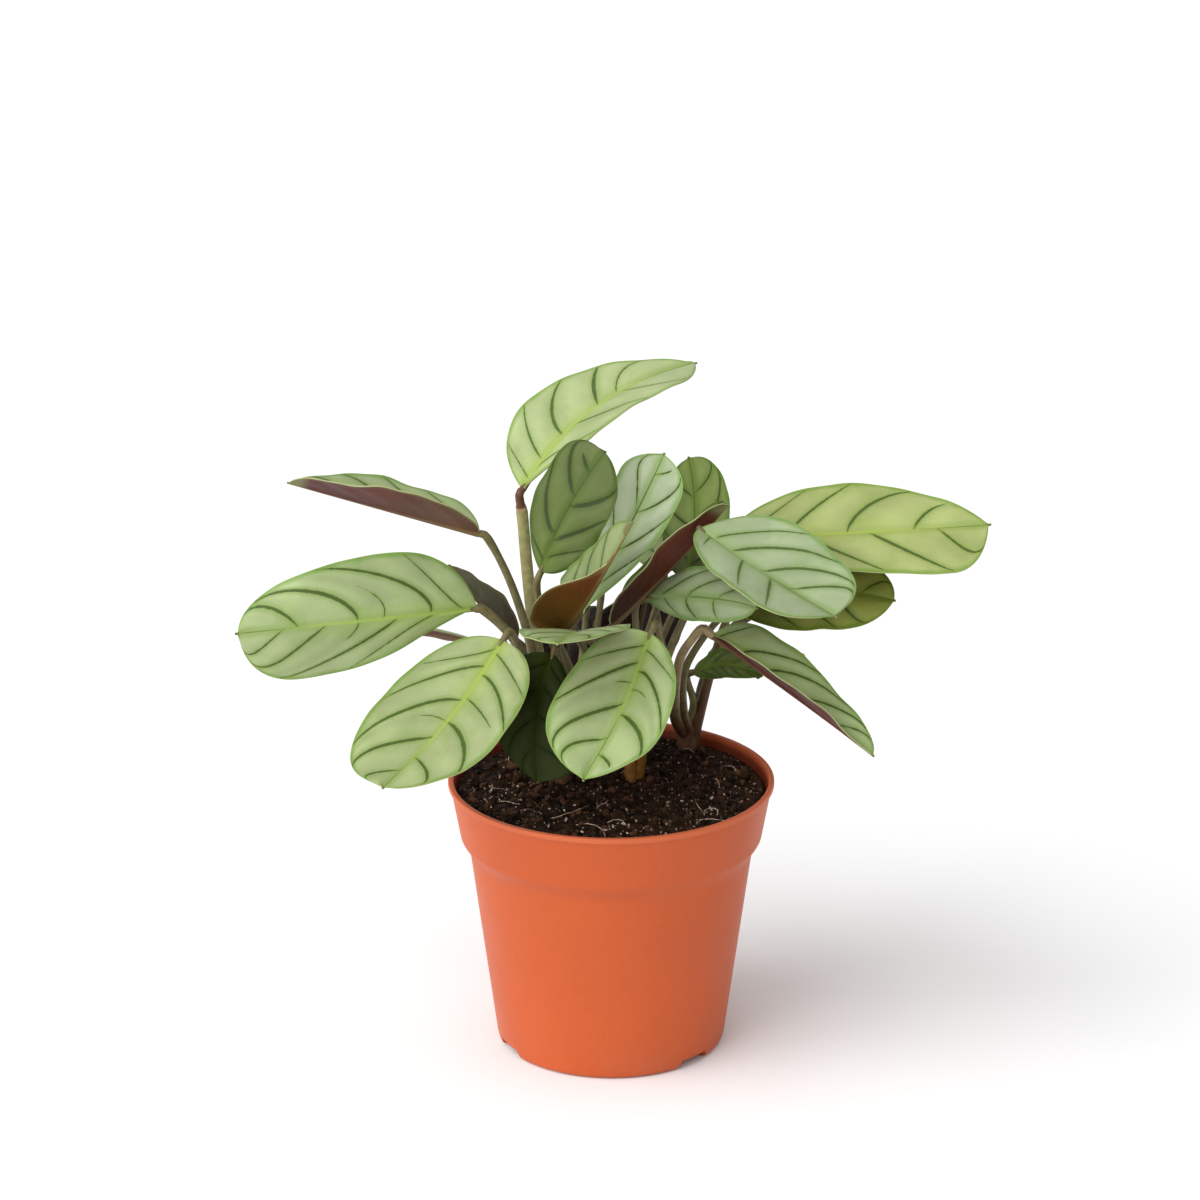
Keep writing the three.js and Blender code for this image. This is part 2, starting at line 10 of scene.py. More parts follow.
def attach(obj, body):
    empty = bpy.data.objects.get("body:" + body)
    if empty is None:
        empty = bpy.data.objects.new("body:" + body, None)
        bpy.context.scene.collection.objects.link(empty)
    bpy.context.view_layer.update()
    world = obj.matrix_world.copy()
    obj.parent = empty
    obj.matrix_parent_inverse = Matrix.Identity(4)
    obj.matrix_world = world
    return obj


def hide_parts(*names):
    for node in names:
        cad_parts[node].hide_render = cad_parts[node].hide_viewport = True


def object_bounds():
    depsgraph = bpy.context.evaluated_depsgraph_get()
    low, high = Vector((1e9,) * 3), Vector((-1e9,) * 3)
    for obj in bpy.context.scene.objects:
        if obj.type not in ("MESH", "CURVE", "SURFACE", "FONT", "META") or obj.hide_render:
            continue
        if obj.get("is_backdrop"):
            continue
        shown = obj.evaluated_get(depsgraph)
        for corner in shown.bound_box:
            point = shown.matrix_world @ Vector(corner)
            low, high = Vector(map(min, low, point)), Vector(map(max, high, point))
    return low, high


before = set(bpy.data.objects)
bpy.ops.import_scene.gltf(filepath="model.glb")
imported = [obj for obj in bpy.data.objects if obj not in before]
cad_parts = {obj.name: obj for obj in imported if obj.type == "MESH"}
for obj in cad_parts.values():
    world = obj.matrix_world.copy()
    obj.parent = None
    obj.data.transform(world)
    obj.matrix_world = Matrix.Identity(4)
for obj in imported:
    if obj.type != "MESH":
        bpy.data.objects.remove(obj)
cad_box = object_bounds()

scene = bpy.context.scene
MM = 0.001
UP = np.array([0, 0, 1])

# Camera, from the pot's rim, collar and foot in the photograph
CAMERA_PLACE = (-4.1, -1506, 699)
CAMERA_TILT = 70.7
CAMERA_LENS = 132
CAMERA_SENSOR = 36

# Light: the world, one broad main light, and two panels with place, aim, size and power
WORLD_LIGHT = 0.7
KEY_FROM = (-0.95, -0.55, 1.25)
KEY_POWER = 2.2
KEY_ANGLE = 58
PANELS = {
    "left": ((-1.3, -0.5, 0.35), (0, 0, 0.1), (0.7, 0.7), 4),
    "front": ((-0.6, -1.5, 0.8), (0, 0, 0.12), (1.2, 0.8), 7),
}
FLOOR_REACH = 5
FLOOR_WHITE = (0.86, 0.86, 0.86)

# Pot
RIM_RADIUS = 60
POT_HEIGHT = 102.5
WALL = 1.2
COLLAR_BOTTOM = (55.6, 81.2)
BODY_TOP = (52, 74)
BODY_BOTTOM = (42.5, 3)
FOOT_RADIUS = 40.3
FOOT_WIDTH = 2.2
FLOOR_BOTTOM = 3.8
FLOOR_TOP = 5
LIP_HEIGHT = 1.8
LIP_WIDTH = 2
NOTCH_HEIGHT = 3.6
NOTCH_TOP_WIDTH = 12.4
NOTCH_BOTTOM_WIDTH = 16
NOTCH_ANGLES = (-63.5, 46.5, 116.5, 226.5)
DRAIN_RADIUS = 3.5
DRAIN_RING = 26
DRAIN_COUNT = 6
DRAIN_SIDES = 28
POT_SEGMENTS = 216
POT_ORANGE = (0.49, 0.088, 0.022)
POT_DUST = (0.32, 0.15, 0.09)
POT_RIM_PAINTED_LIGHT = (0.62, 0.18, 0.08)
POT_INSIDE_PAINTED_SHADE = (0.13, 0.022, 0.01)

# Soil
SOIL_RADIUS = 56.2
SOIL_EDGE_Z = 98
SOIL_MOUND = 1.5
SOIL_RINGS = 90
SOIL_SEGMENTS = 260
SOIL_DARK = (0.01, 0.0045, 0.002)
CRUMBS = 900
GLINT_FLECKS = 330
STRAY_FIBRES = 34
FIBRE_POINTS = 14

# Fibres on the soil: start, heading in degrees, length and how far each curls
FIBRES = [
    (-23, -31, 10, 19, 60), (-14, -38, -5, 17, -80), (-2, -36, 35, 9, -120), (31, -14, -98, 12, 40),
    (31, -33, -40, 10, 70), (37, 6, -60, 10, -30), (38, -30, 60, 8, 160), (-41, -16, -70, 9, 90),
    (-6, 38, 20, 16, 90), (-38, 24, 100, 12, -70), (12, 50, 190, 10, 60), (47, 12, 100, 9, 50),
]

# Where the pale flecks, painted highlights for the soil's glints, lie thickest on the soil, and their
# spread
GLINT_FLECK_SPOTS = [
    (-33, -26, 9), (-40, -8, 7), (-8, -45, 10), (12, -42, 9), (34, -25, 9), (42, 2, 8), (0, 0, 34),
]

# Shoots: where each stands, and the form of its petioles
SHOOTS = {
    "left": (-19, 3), "inner": (-8, 10), "middle": (8, 8),
    "right": (29, 40), "centre": (6, 25), "back": (-10, 36),
}
STEM_FOOT_Z = 82
HOLE_DEPTH = 18.5
SHOOT_SPREAD = 2.1
CLEARANCE = 0.3
STEM_RINGS = 80
STEM_SIDES = 14
JOINT_PLACE = 7.5
JOINT_SPREAD = 4.2
JOINT_SWELL = 0.22

# Blades
BLADE = 0.42
RIB = 0.9
RIB_SPREAD = 0.9
STALK_HALF_WIDTH = 1.1
CUSP_SHARE = 0.012
CUSP_HALF_WIDTH = 1.7
VEIN_HALF_WIDTH = 0.98
EDGE_RIPPLE = 0.3
CUSHION = 0.3
GROOVE = 0.45
ROWS = 100
COLUMNS = 52

# Upper face, the green near the midrib's base, and the record's slot, for each tint
TINTS = {
    "silver": ((0.27, 0.33, 0.155), (0.27, 0.37, 0.075), "leaf_silver_green"),
    "fresh": ((0.285, 0.34, 0.155), (0.28, 0.37, 0.06), "leaf_yellow_green"),
    "yellow": ((0.305, 0.355, 0.125), (0.3, 0.37, 0.06), "leaf_yellow_green"),
    "blue": ((0.265, 0.325, 0.18), (0.24, 0.33, 0.12), "leaf_blue_green"),
    # This tint is the leaf's own silver, made whiter and bluer as a painted sheen
    "pale": ((0.285, 0.335, 0.224), (0.22, 0.3, 0.11), "leaf_blue_green"),
    "olive": ((0.3, 0.35, 0.065), (0.3, 0.37, 0.04), "leaf_yellow_green"),
    "dark": ((0.12, 0.158, 0.042), (0.13, 0.2, 0.024), "leaf_dark_green"),
    "rolled": ((0.11, 0.11, 0.05), (0.12, 0.13, 0.035), "leaf_dark_green"),
}
VEIN_GREEN = (0.042, 0.074, 0.009)
SHADED_UNDER = ((0.022, 0.012, 0.006), (0.03, 0.013, 0.008))

# Said of a leaf only where it differs. Its lightness: how light it is beside others of its tint, its own
# tone with painted light where it is turned from the lamps and painted shade where it hangs in shade.
# rib_fade: how far along the midrib turns dark. Its base shade: how light its base is beside its tip,
# painted shade from the leaves above. tone: 1 is a pale tan petiole, -1 one with a reddish joint.
# underside: near the base and near the tip, its own colour made darker as painted shade under the leaves.
USUAL = dict(
    roll=0, fold=(8, 8), curl=(-14, -14), arch=2, sweep=0, bow=0, wave=0.8, rise=(0.5, 0.5),
    stalk=(2.6, 1.15, 4), veins=None, light=1, rib_fade=0.75, base_shade=1, tone=0,
    underside=((0.1, 0.034, 0.024), (0.115, 0.036, 0.032)),
)
LEAVES = []


def leaf(name, shoot, tint, base, tip, **own):
    LEAVES.append({**USUAL, "name": name, "shoot": shoot, "tint": tint, "base": base, "tip": tip, **own})


# Each leaf's shoot, tint, base and tip, its form, as in the solids, and its veins, on the left and on the
# right as seen from the base. A vein is, in hundredths: the place along the midrib where it starts, where
# it is half way to the margin and where it is near it, its strength, and for a short one how far it goes.
leaf("far_left_furled", "left", "silver", (-47.5, -5, 199), (-116.5, 0, 216.5), width=38, roll=6,
     fold=(32, 25), curl=(6, -6), arch=0, widest=(0.33, 0.35), rise=(0.5, 0.6), taper=(0.6, 0.7),
     stalk=(2.6, 1.35, 1.2), underside=((0.108, 0.05, 0.026), (0.1, 0.03, 0.026)),
     via=((-25, 3, 130), (-31, 2, 160), (-38.5, -2, 184)),
     veins=([(6, 14, 26, 60), (22, 31, 44, 80), (40, 50, 62, 80), (58, 67, 78, 70), (76, 83, 90, 50)],
            [(8, 17, 30, 60), (28, 38, 52, 80), (48, 58, 72, 80), (68, 77, 87, 60)]))
leaf("left_broad", "left", "silver", (-48.5, -8, 171), (-134, -32, 170), width=47, roll=-84,
     fold=(-20, 2), curl=(-8, -20), arch=6.5, sweep=1.5, widest=(0.78, 0.37), rise=(1.5, 0.65),
     taper=(0.38, 0.53), stalk=(2.8, 1.6, 1.2), light=1.19, via=((-25, -1, 125), (-34, -5, 156)),
     veins=([(18, 32, 50, 40), (34, 51, 78, 75), (50, 61, 85, 35, 35), (63, 79, 93, 70), (80, 92, 97, 45)],
            [(5, 17, 28, 40), (20, 30, 58, 90), (40, 47, 72, 30, 50), (50, 62, 86, 100),
             (74, 83, 93, 75)]))
leaf("rolled_young", "left", "rolled", (-35, 6, 154.5), (-60.5, 6, 182.5), width=15, roll=60,
     fold=(40, 40), curl=(40, 40), arch=0, widest=(0.4, 0.4), taper=(0.7, 0.7),
     underside=((0.075, 0.06, 0.04), (0.15, 0.15, 0.095)), via=((-23, 5, 125), (-30, 6, 146)),
     veins=([(15, 25, 40, 40), (45, 55, 70, 40)],
            [(15, 25, 40, 40), (45, 55, 70, 40)]))
leaf("front_left", "left", "fresh", (-39, -22, 164), (-80, -80, 130), width=50, roll=-20, fold=(18, -3),
     curl=(-8, -12), arch=-3.5, sweep=0.5, widest=(0.5, 0.54), rise=(0.42, 0.49), taper=(0.62, 0.32),
     bow=-0.1, via=((-23, -4, 125), (-32, -14, 155)),
     veins=([(7, 13, 22, 50), (20, 27, 42, 90), (34, 41, 50, 45, 75), (50, 58, 72, 110), (75, 81, 88, 70)],
            [(4, 16, 26, 40), (15, 27, 47, 80), (36, 49, 74, 100), (50, 57, 81, 25, 40), (60, 75, 89, 100),
             (84, 93, 97, 50)]))
leaf("front_middle", "middle", "silver", (14, -22, 166.5), (-10, -70, 129), width=43, roll=-19,
     fold=(29, 13), arch=-2.5, sweep=0.5, widest=(0.58, 0.66), rise=(0.66, 0.4), taper=(0.73, 0.63),
     bow=-0.12, light=1.11, rib_fade=0.55, via=((13, 4, 120), (18, -6, 150)),
     veins=([(10, 15, 25, 45), (24, 32, 55, 80), (36, 43, 65, 25, 40), (52, 61, 75, 110),
             (80, 86, 92, 70, 70)],
            [(7, 16, 28, 45), (17, 33, 55, 80), (31, 42, 69, 30, 30), (44, 62, 83, 100),
             (68, 80, 92, 70)]))
leaf("shaded_hanging", "inner", "dark", (-21, -17, 157), (-26.5, -42, 117), width=31, roll=12,
     fold=(-4, 22), curl=(-6, -6), arch=8, widest=(0.8, 0.42), rise=(0.8, 0.5), taper=(0.3, 0.8),
     light=0.19, rib_fade=0.3, via=((-14, 0, 130), (-20, -8, 152)),
     veins=([(8, 18, 32, 60), (28, 40, 55, 70), (50, 62, 76, 70), (72, 81, 90, 50)],
            [(8, 18, 32, 60), (30, 42, 57, 70), (53, 65, 79, 70), (75, 83, 92, 50)]))
leaf("level_forward", "centre", "silver", (-11, -14, 164), (-19, -70, 180), width=39, roll=3,
     fold=(10, 7), curl=(-8, -8), sweep=-2, widest=(0.5, 0.5), taper=(0.56, 0.56), wave=0.2,
     via=((0, 18, 125), (-5, 4, 151)),
     veins=([(7, 16, 28, 60), (26, 36, 52, 80), (48, 59, 73, 80), (70, 79, 89, 60)],
            [(11, 21, 34, 60), (32, 43, 58, 80), (54, 65, 79, 80), (77, 84, 92, 50)]))
leaf("tall_arching", "left", "fresh", (-32.5, 12, 210), (31.5, 47, 247.5), width=47, roll=1,
     fold=(18, 12), curl=(-6, -6), arch=8, sweep=-3.5, widest=(0.3, 0.77), rise=(1, 0.9),
     taper=(0.95, 0.75), stalk=(2.8, 2.1, 1.2), light=1.1, tone=-1.0,
     via=((-24, 8, 130), (-28.5, 8, 160), (-30.8, 10, 182), (-32.3, 12, 200)),
     veins=([(5, 9, 14, 40), (15, 21, 29, 60), (29, 35, 46, 90), (50, 56, 62, 100), (60, 68, 78, 35)],
            [(10, 20, 36, 45), (36, 47, 62, 60), (62, 72, 85, 45)]))
leaf("upright_dark", "inner", "dark", (-25.5, -10, 186), (-2, -6, 230), width=32, roll=46, fold=(2, 0),
     curl=(-10, -14), sweep=-1.5, widest=(0.74, 0.59), rise=(0.8, 0.5), taper=(0.32, 0.57), light=0.75,
     rib_fade=0.12, via=((-14, 8, 130), (-23, 1, 160)),
     veins=([(8, 13, 20, 70), (30, 40, 66, 135), (60, 74, 92, 130), (80, 88, 97, 110, 45)],
            [(10, 20, 30, 60), (24, 39, 56, 125), (52, 64, 80, 130)]))
leaf("folded_pale", "inner", "fresh", (-18.5, -10, 162), (7.5, -37.5, 214), width=33, roll=55,
     fold=(18, 94), curl=(-4, -2), arch=2.5, sweep=8, widest=(0.23, 0.37), rise=(0.5, 0.4),
     taper=(0.45, 9), light=0.68, underside=((0.105, 0.05, 0.006), (0.13, 0.036, 0.01)),
     via=((-11, 5, 130), (-16, 0, 148)),
     veins=([(14, 32, 52, 50), (38, 54, 70, 60), (62, 74, 85, 50)],
            [(15, 26, 40, 50), (42, 52, 65, 50)]))
leaf("upright_silver", "centre", "pale", (-11.5, 15, 160.5), (19.5, 27, 219), width=25, roll=62,
     fold=(11, 3), curl=(-12, -14), arch=-3, sweep=1, widest=(0.82, 0.8), rise=(1.4, 1.4),
     taper=(0.68, 0.63), light=2.35, rib_fade=0.2, base_shade=0.75, via=((0, 24, 125), (-9, 16, 145)),
     veins=([(36, 52, 70, 50), (62, 84, 97, 55)],
            [(18, 30, 46, 50), (40, 52, 68, 75), (63, 74, 88, 75), (86, 91, 95, 60, 60)]))
leaf("upright_back", "centre", "dark", (27.5, 28, 169.5), (28.5, 40, 213.5), width=30, roll=37,
     fold=(9, 7), curl=(-8, -10), arch=0.5, sweep=3, widest=(0.48, 0.56), taper=(0.48, 0.4), light=2.1,
     rib_fade=0.3, base_shade=0.3, via=((10, 28, 125), (20, 28, 150)),
     veins=([(14, 24, 36, 50), (42, 50, 62, 90), (66, 78, 90, 60)],
            [(12, 24, 40, 60), (36, 54, 80, 95), (70, 80, 90, 60)]))
leaf("furled_maroon", "centre", "dark", (0, -2, 162.5), (42.5, 8, 206), width=31, roll=-17,
     fold=(18, 32), curl=(8, 6), arch=-1, sweep=-2, widest=(0.42, 0.42), taper=(0.4, 0.4),
     underside=((0.045, 0.016, 0.007), (0.115, 0.03, 0.017)), via=((5, 18, 125), (0, 8, 148)))
leaf("right_blue", "middle", "blue", (32, -1.5, 199.5), (78.5, -56, 185), width=44, roll=13,
     fold=(18, 20), curl=(-6, -8), arch=-2, sweep=-2, widest=(0.42, 0.766), rise=(0.8, 0.55),
     taper=(0.32, 0.56), stalk=(2.6, 1.15, 1), bow=0.1, rib_fade=0.45,
     via=((14, 11, 125), (22, 9.5, 150), (33, 3, 180), (34.5, -0.5, 192)),
     veins=([(10, 21, 42, 55), (22, 40, 66, 90), (44, 62, 86, 90), (64, 80, 93, 70)],
            [(8, 11, 15, 45, 70), (32, 42, 55, 70, 85), (52, 66, 78, 80, 90)]))
leaf("right_small_blue", "middle", "blue", (12.5, 4, 170.5), (52, -26, 177.5), width=22, roll=58,
     fold=(-14, -18), curl=(-10, -12), sweep=-4, widest=(0.52, 0.52), rise=(0.57, 0.83),
     taper=(0.56, 0.56), bow=0.18, light=0.85, rib_fade=0.3, via=((8, 8, 125), (9, 7, 155)),
     veins=([(13, 30, 50, 80), (38, 55, 75, 90), (65, 78, 90, 70)],
            [(16, 20, 27, 60), (37, 38, 46, 110, 90), (62, 63, 68, 90, 85)]))
leaf("right_long_yellow", "right", "yellow", (43, 20, 189), (137.5, 6, 198.5), width=46, roll=32,
     fold=(5, 9), curl=(-9, -8), arch=1.5, sweep=2, widest=(0.46, 0.86), rise=(0.6, 1),
     taper=(0.85, 0.57), light=0.96, via=((34, 41, 115), (40, 40, 140), (46, 27, 170)),
     veins=([(5, 14, 26, 50), (22, 31, 43, 80), (45, 52, 66, 95), (70, 76, 84, 75, 80)],
            [(6, 18, 32, 50), (26, 42, 58, 80), (53, 68, 82, 95), (79, 88, 95, 70)]))
leaf("right_under_yellow", "right", "olive", (46, 15, 163), (103, -2, 172), width=35, roll=40,
     fold=(11, 7), curl=(-7, -7), arch=3, sweep=-4, widest=(0.38, 0.62), rise=(0.5, 0.7),
     taper=(0.54, 0.51), light=0.7, base_shade=0.6, via=((27, 32, 116), (28, 23, 138)),
     veins=([(8, 20, 36, 60), (32, 46, 62, 80), (56, 68, 82, 80), (78, 86, 93, 50)],
            [(12, 24, 40, 60), (38, 51, 66, 80), (62, 73, 85, 70)]))
leaf("right_drooping", "right", "silver", (37, 0, 158), (95, -25, 120.5), width=30, roll=11,
     fold=(24, 49), curl=(-3, -3), arch=1, sweep=0.4, widest=(0.22, 0.38), rise=(0.5, 0.8),
     taper=(0.56, 1.4), stalk=(2.8, 1.5, 4), light=1.26, tone=0.8,
     via=((24, 30, 115), (25, 15, 142), (29, 5, 154)),
     veins=([(2, 6, 12, 60), (16, 27, 48, 85), (30, 45, 68, 90), (52, 68, 84, 85), (74, 84, 93, 50)],
            [(10, 20, 34, 60), (32, 44, 58, 70), (56, 68, 80, 60)]))
leaf("right_small_low", "right", "dark", (31, 34, 131.5), (55.5, 11, 138), width=11.5, roll=53,
     fold=(12, 7), curl=(-6, -6), sweep=-3, widest=(0.5, 0.44), taper=(0.6, 0.76), via=((31, 40, 116),))
leaf("back_left", "back", "silver", (-46, 42, 139), (-122, 62, 129), width=44, roll=25, arch=7,
     widest=(0.4, 0.6), taper=(0.56, 0.56), via=((-18, 38, 116), (-31, 41, 133)))
leaf("back_hanging", "back", "silver", (-11, 47, 152), (-18, 56, 120), width=31, arch=3,
     widest=(0.58, 0.42), taper=(0.52, 0.52), light=0.5, underside=SHADED_UNDER,
     via=((-12, 38, 122), (-10, 42, 142)))
leaf("back_low", "right", "blue", (14, 50, 158), (10, 59, 122), width=38, arch=3, widest=(0.42, 0.58),
     taper=(0.6, 0.6), light=0.5, underside=SHADED_UNDER, via=((22, 46, 120), (18, 47, 144)))
leaf("back_upright", "back", "dark", (-4, 48, 162), (-18, 78, 190), width=36, roll=10, fold=(10, 10),
     arch=6, widest=(0.56, 0.44), taper=(0.58, 0.58), via=((-8, 40, 128),))
leaf("back_tall", "centre", "silver", (20, 48, 166), (34, 78, 192), width=38, roll=-10, fold=(10, 10),
     arch=6, widest=(0.42, 0.58), taper=(0.5, 0.5), via=((8, 34, 118), (14, 40, 145)))
leaf("back_right", "right", "yellow", (50, 46, 148), (106, 68, 147), width=40, roll=-20, arch=6,
     widest=(0.6, 0.4), taper=(0.58, 0.58), via=((34, 44, 115), (41, 46, 136)))
leaf("back_right_low", "right", "dark", (40, 54, 128), (72, 76, 120), width=32, roll=-10, arch=5,
     widest=(0.42, 0.58), taper=(0.54, 0.54), via=((32, 47, 112),))


# Small helpers

def unit(a):
    return a / np.linalg.norm(a, axis=-1, keepdims=True)


def smooth(low, high, x):
    t = np.clip((x - low) / (high - low), 0, 1)
    return t * t * (3 - 2 * t)


def turns(count):
    return [2 * pi * k / count for k in range(count)]


def polar(radius, angle):
    return radius * cos(angle), radius * sin(angle)


def scaled(colour, share):
    return tuple(np.multiply(colour, share).tolist())


def show(name, data):
    piece = bpy.data.objects.new(name, data)
    scene.collection.objects.link(piece)
    return piece


def shade_smooth(mesh, sharp):
    mesh.polygons.foreach_set("use_smooth", np.ones(len(mesh.polygons), bool))
    mesh.set_sharp_from_angle(angle=radians(sharp))


def make_object(name, points, faces, materials=(), face_slots=None, sharp=50):
    mesh = bpy.data.meshes.new(name)
    mesh.from_pydata((np.asarray(points) * MM).tolist(), [], faces)
    for material in materials:
        mesh.materials.append(material)
    if face_slots is not None:
        mesh.polygons.foreach_set("material_index", face_slots)
    shade_smooth(mesh, sharp)
    return show(name, mesh)


def give_values(piece, domain, name, values):
    attribute = piece.data.attributes.new(name, "FLOAT", domain)
    attribute.data.foreach_set("value", np.asarray(values, np.float32).ravel())


def settle(piece, slot, *nodes):
    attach(piece, "root")
    if nodes:
        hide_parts(*nodes)


def tube(line, radii, sides, facing=(1, 0, 0)):
    """Rings of points around a line, closed at both ends."""
    tangent = unit(np.gradient(line, axis=0))
    side = np.array(facing)
    angles = 2 * np.pi * np.arange(sides)[:, None] / sides
    rings = []
    for centre, radius, t in zip(line, radii, tangent):
        side = unit(side - t * side.dot(t))
        rings.append(centre + radius * (np.cos(angles) * side + np.sin(angles) * np.cross(t, side)))
    faces = []
    for k in range(len(line) - 1):
        for m in range(sides):
            n = (m + 1) % sides
            faces.append([k * sides + m, k * sides + n, (k + 1) * sides + n, (k + 1) * sides + m])
    last = (len(line) - 1) * sides
    faces += [list(range(sides))[::-1], [last + m for m in range(sides)]]
    return np.concatenate(rings), faces


def join(parts):
    """The points and faces of several forms as one."""
    points, faces, start = [], [], 0
    for own_points, own_faces in parts:
        points.append(own_points)
        faces += [[start + m for m in face] for face in own_faces]
        start += len(own_points)
    return np.concatenate(points), faces


# Shader helpers

class Shader:
    """A material's node tree, with short calls for the nodes that the finishes use."""

    def __init__(self, name, **constants):
        self.material = bpy.data.materials.new(name)
        self.material.use_nodes = True
        self.tree = self.material.node_tree
        self.bsdf = self.tree.nodes["Principled BSDF"]
        self.colour = None
        for socket, value in constants.items():
            self.bsdf.inputs[socket.replace("_", " ")].default_value = value

    def node(self, kind, **settings):
        made = self.tree.nodes.new("ShaderNode" + kind)
        for key, value in settings.items():
            setattr(made, key, value)
        return made

    def put(self, socket, value):
        if isinstance(value, bpy.types.NodeSocket):
            self.tree.links.new(value, socket)
        elif isinstance(value, tuple) and socket.type == "RGBA":
            socket.default_value = (*value, 1)
        else:
            socket.default_value = value

    def fill(self, made, values):
        for socket, value in zip(made.inputs, values):
            self.put(socket, value)
        return made.outputs[0]

    def math(self, operation, *values):
        return self.fill(self.node("Math", operation=operation), values)

    def plus(self, a, b):
        return self.math("ADD", a, b)

    def minus(self, a, b):
        return self.math("SUBTRACT", a, b)

    def times(self, a, b):
        return self.math("MULTIPLY", a, b)

    def step(self, value, low, high, out_low=0, out_high=1):
        made = self.node("MapRange", interpolation_type="SMOOTHSTEP")
        return self.fill(made, (value, low, high, out_low, out_high))

    def mix(self, share, a, b):
        made = self.node("Mix", data_type="RGBA")
        self.put(made.inputs["Factor"], share)
        self.put(made.inputs[6], a)
        self.put(made.inputs[7], b)
        return made.outputs[2]

    def lay(self, over, where, most=None):
        """Lays a colour over the finish where a value says, up to a share."""
        self.colour = self.mix(where if most is None else self.times(where, most), self.colour, over)

    def value(self, name):
        return self.node("Attribute", attribute_name=name).outputs["Fac"]

    def place(self):
        return self.node("TexCoord").outputs["Object"]

    def noise(self, scale, detail=2, vector=None):
        made = self.node("TexNoise")
        self.put(made.inputs["Vector"], vector or self.place())
        made.inputs["Scale"].default_value = scale
        made.inputs["Detail"].default_value = detail
        return made.outputs["Fac"]

    def cloud(self, scale, detail, low, high):
        """Soft patches between two values."""
        return self.step(self.noise(scale, detail), 0.3, 0.7, low, high)

    def brighten(self, amount):
        made = self.node("HueSaturation")
        self.put(made.inputs["Value"], amount)
        self.put(made.inputs["Color"], self.colour)
        self.colour = made.outputs[0]

    def bump(self, height, distance, strength):
        made = self.node("Bump")
        made.inputs["Strength"].default_value = strength
        made.inputs["Distance"].default_value = distance * MM
        self.put(made.inputs["Height"], height)
        self.tree.links.new(made.outputs[0], self.bsdf.inputs["Normal"])

    def finish(self, roughness=None):
        self.put(self.bsdf.inputs["Base Color"], self.colour)
        if roughness is not None:
            self.put(self.bsdf.inputs["Roughness"], roughness)
        return self.material


# Leaf materials

def vein_share(s):
    """How far a point is from the nearest vein: 0.5 is half way between two."""
    turn = s.math("FRACT", s.plus(s.value("vein_phase"), 0.5))
    return s.math("ABSOLUTE", s.minus(turn, 0.5))


def vein_distance(s):
    """How far a point is from the middle of the nearest vein, in millimetres."""
    wander = s.times(s.minus(s.noise(500), 0.5), 0.5)
    return s.plus(s.times(vein_share(s), s.value("vein_reach")), wander)


def face_ground(s, face, glow, deep_green, lines):
    """The face without veins: pale cushions, patches, and greens by the midrib and the margin."""
    along, rib, edge = map(s.value, ("along", "rib_mm", "edge_mm"))
    cushion = s.step(vein_share(s), 0.08, 0.5, 0.95, 1.05)
    s.colour = face
    s.brighten(s.plus(s.times(s.cloud(60, 4, 0.9, 1.09), cushion), s.times(lines, 0.03)))
    s.lay(deep_green, s.step(s.noise(90, 3), 0.48, 0.72), 0.28)
    s.lay(glow, s.times(s.step(rib, 7.5, 0.2), s.step(along, 0.9, 0)), 0.6)
    margin = s.step(s.plus(edge, s.times(s.noise(160), 2.2)), 3.7, 1.3)
    s.lay(scaled(face, (0.42, 0.68, 0.16)), margin, 0.78)
    s.lay(scaled(face, (1.2, 1.2, 0.9)), s.step(edge, 0.4, 0.1), 0.3)


def face_veins(s, vein_green, deep_green):
    """Dark veins in a greener halo; returns where they lie."""
    distance, half = vein_distance(s), s.value("vein_half")
    halo = s.step(distance, s.plus(s.times(half, 2), 0.7), half)
    s.lay(deep_green, s.times(halo, s.step(half, 0, 0.2)), 0.5)
    core = s.step(distance, half, s.times(half, 0.45))
    s.lay(vein_green, core, 0.9)
    return core


def face_midrib(s, rib_fade, glow, deep_green, vein_green):
    """The midrib: yellow-green at the base, a thin dark line by the tip."""
    along, rib = s.value("along"), s.value("rib_mm")
    dark = s.step(along, rib_fade - 0.15, rib_fade + 0.25)
    half = s.times(s.step(along, 0, 1, 1.15, 0.5), s.minus(1, s.times(dark, 0.35)))
    s.lay(deep_green, s.step(rib, 3.2, 0.9), s.plus(0.25, s.times(dark, 0.3)))
    line = s.step(rib, half, s.times(half, 0.35))
    s.lay(s.mix(s.times(dark, 0.8), glow, vein_green), line, s.step(along, 1, 0.95, 0.2, 0.85))


def leaf_face(row, light):
    """The upper face; its tint is scaled by the leaf's own tone and by painted light and shade. Its darker
    greens follow from its tint.
    """
    face, glow = (scaled(colour, light) for colour in TINTS[row["tint"]][:2])
    # Darker leaves reflect less of the bright world: painted shade where other leaves hide it
    s = Shader("face_" + row["name"], Specular_IOR_Level=0.22 * min(1, light))
    vein_green = scaled(VEIN_GREEN, min(1, face[0] / 0.27) ** 0.7)
    deep_green = scaled(face, (0.56, 0.74, 0.26))
    # Fine lines along the veins
    run = s.times(s.value("vein_phase"), 75)
    lines = s.times(s.math("SINE", s.plus(run, s.noise(120))), 0.5)
    face_ground(s, face, glow, deep_green, lines)
    core = face_veins(s, vein_green, deep_green)
    face_midrib(s, row["rib_fade"], glow, deep_green, vein_green)
    # Painted shade: a base darker than the tip, where the leaves above shade it
    if row["base_shade"] < 1:
        s.brighten(s.step(s.value("along"), 0.15, 0.55, row["base_shade"]))
    height = s.minus(s.times(lines, 0.16), s.times(core, 0.5))
    s.bump(s.plus(height, s.times(s.noise(900, 3), 0.35)), 0.22, 0.5)
    return s.finish(s.cloud(70, 2, 0.36, 0.5))


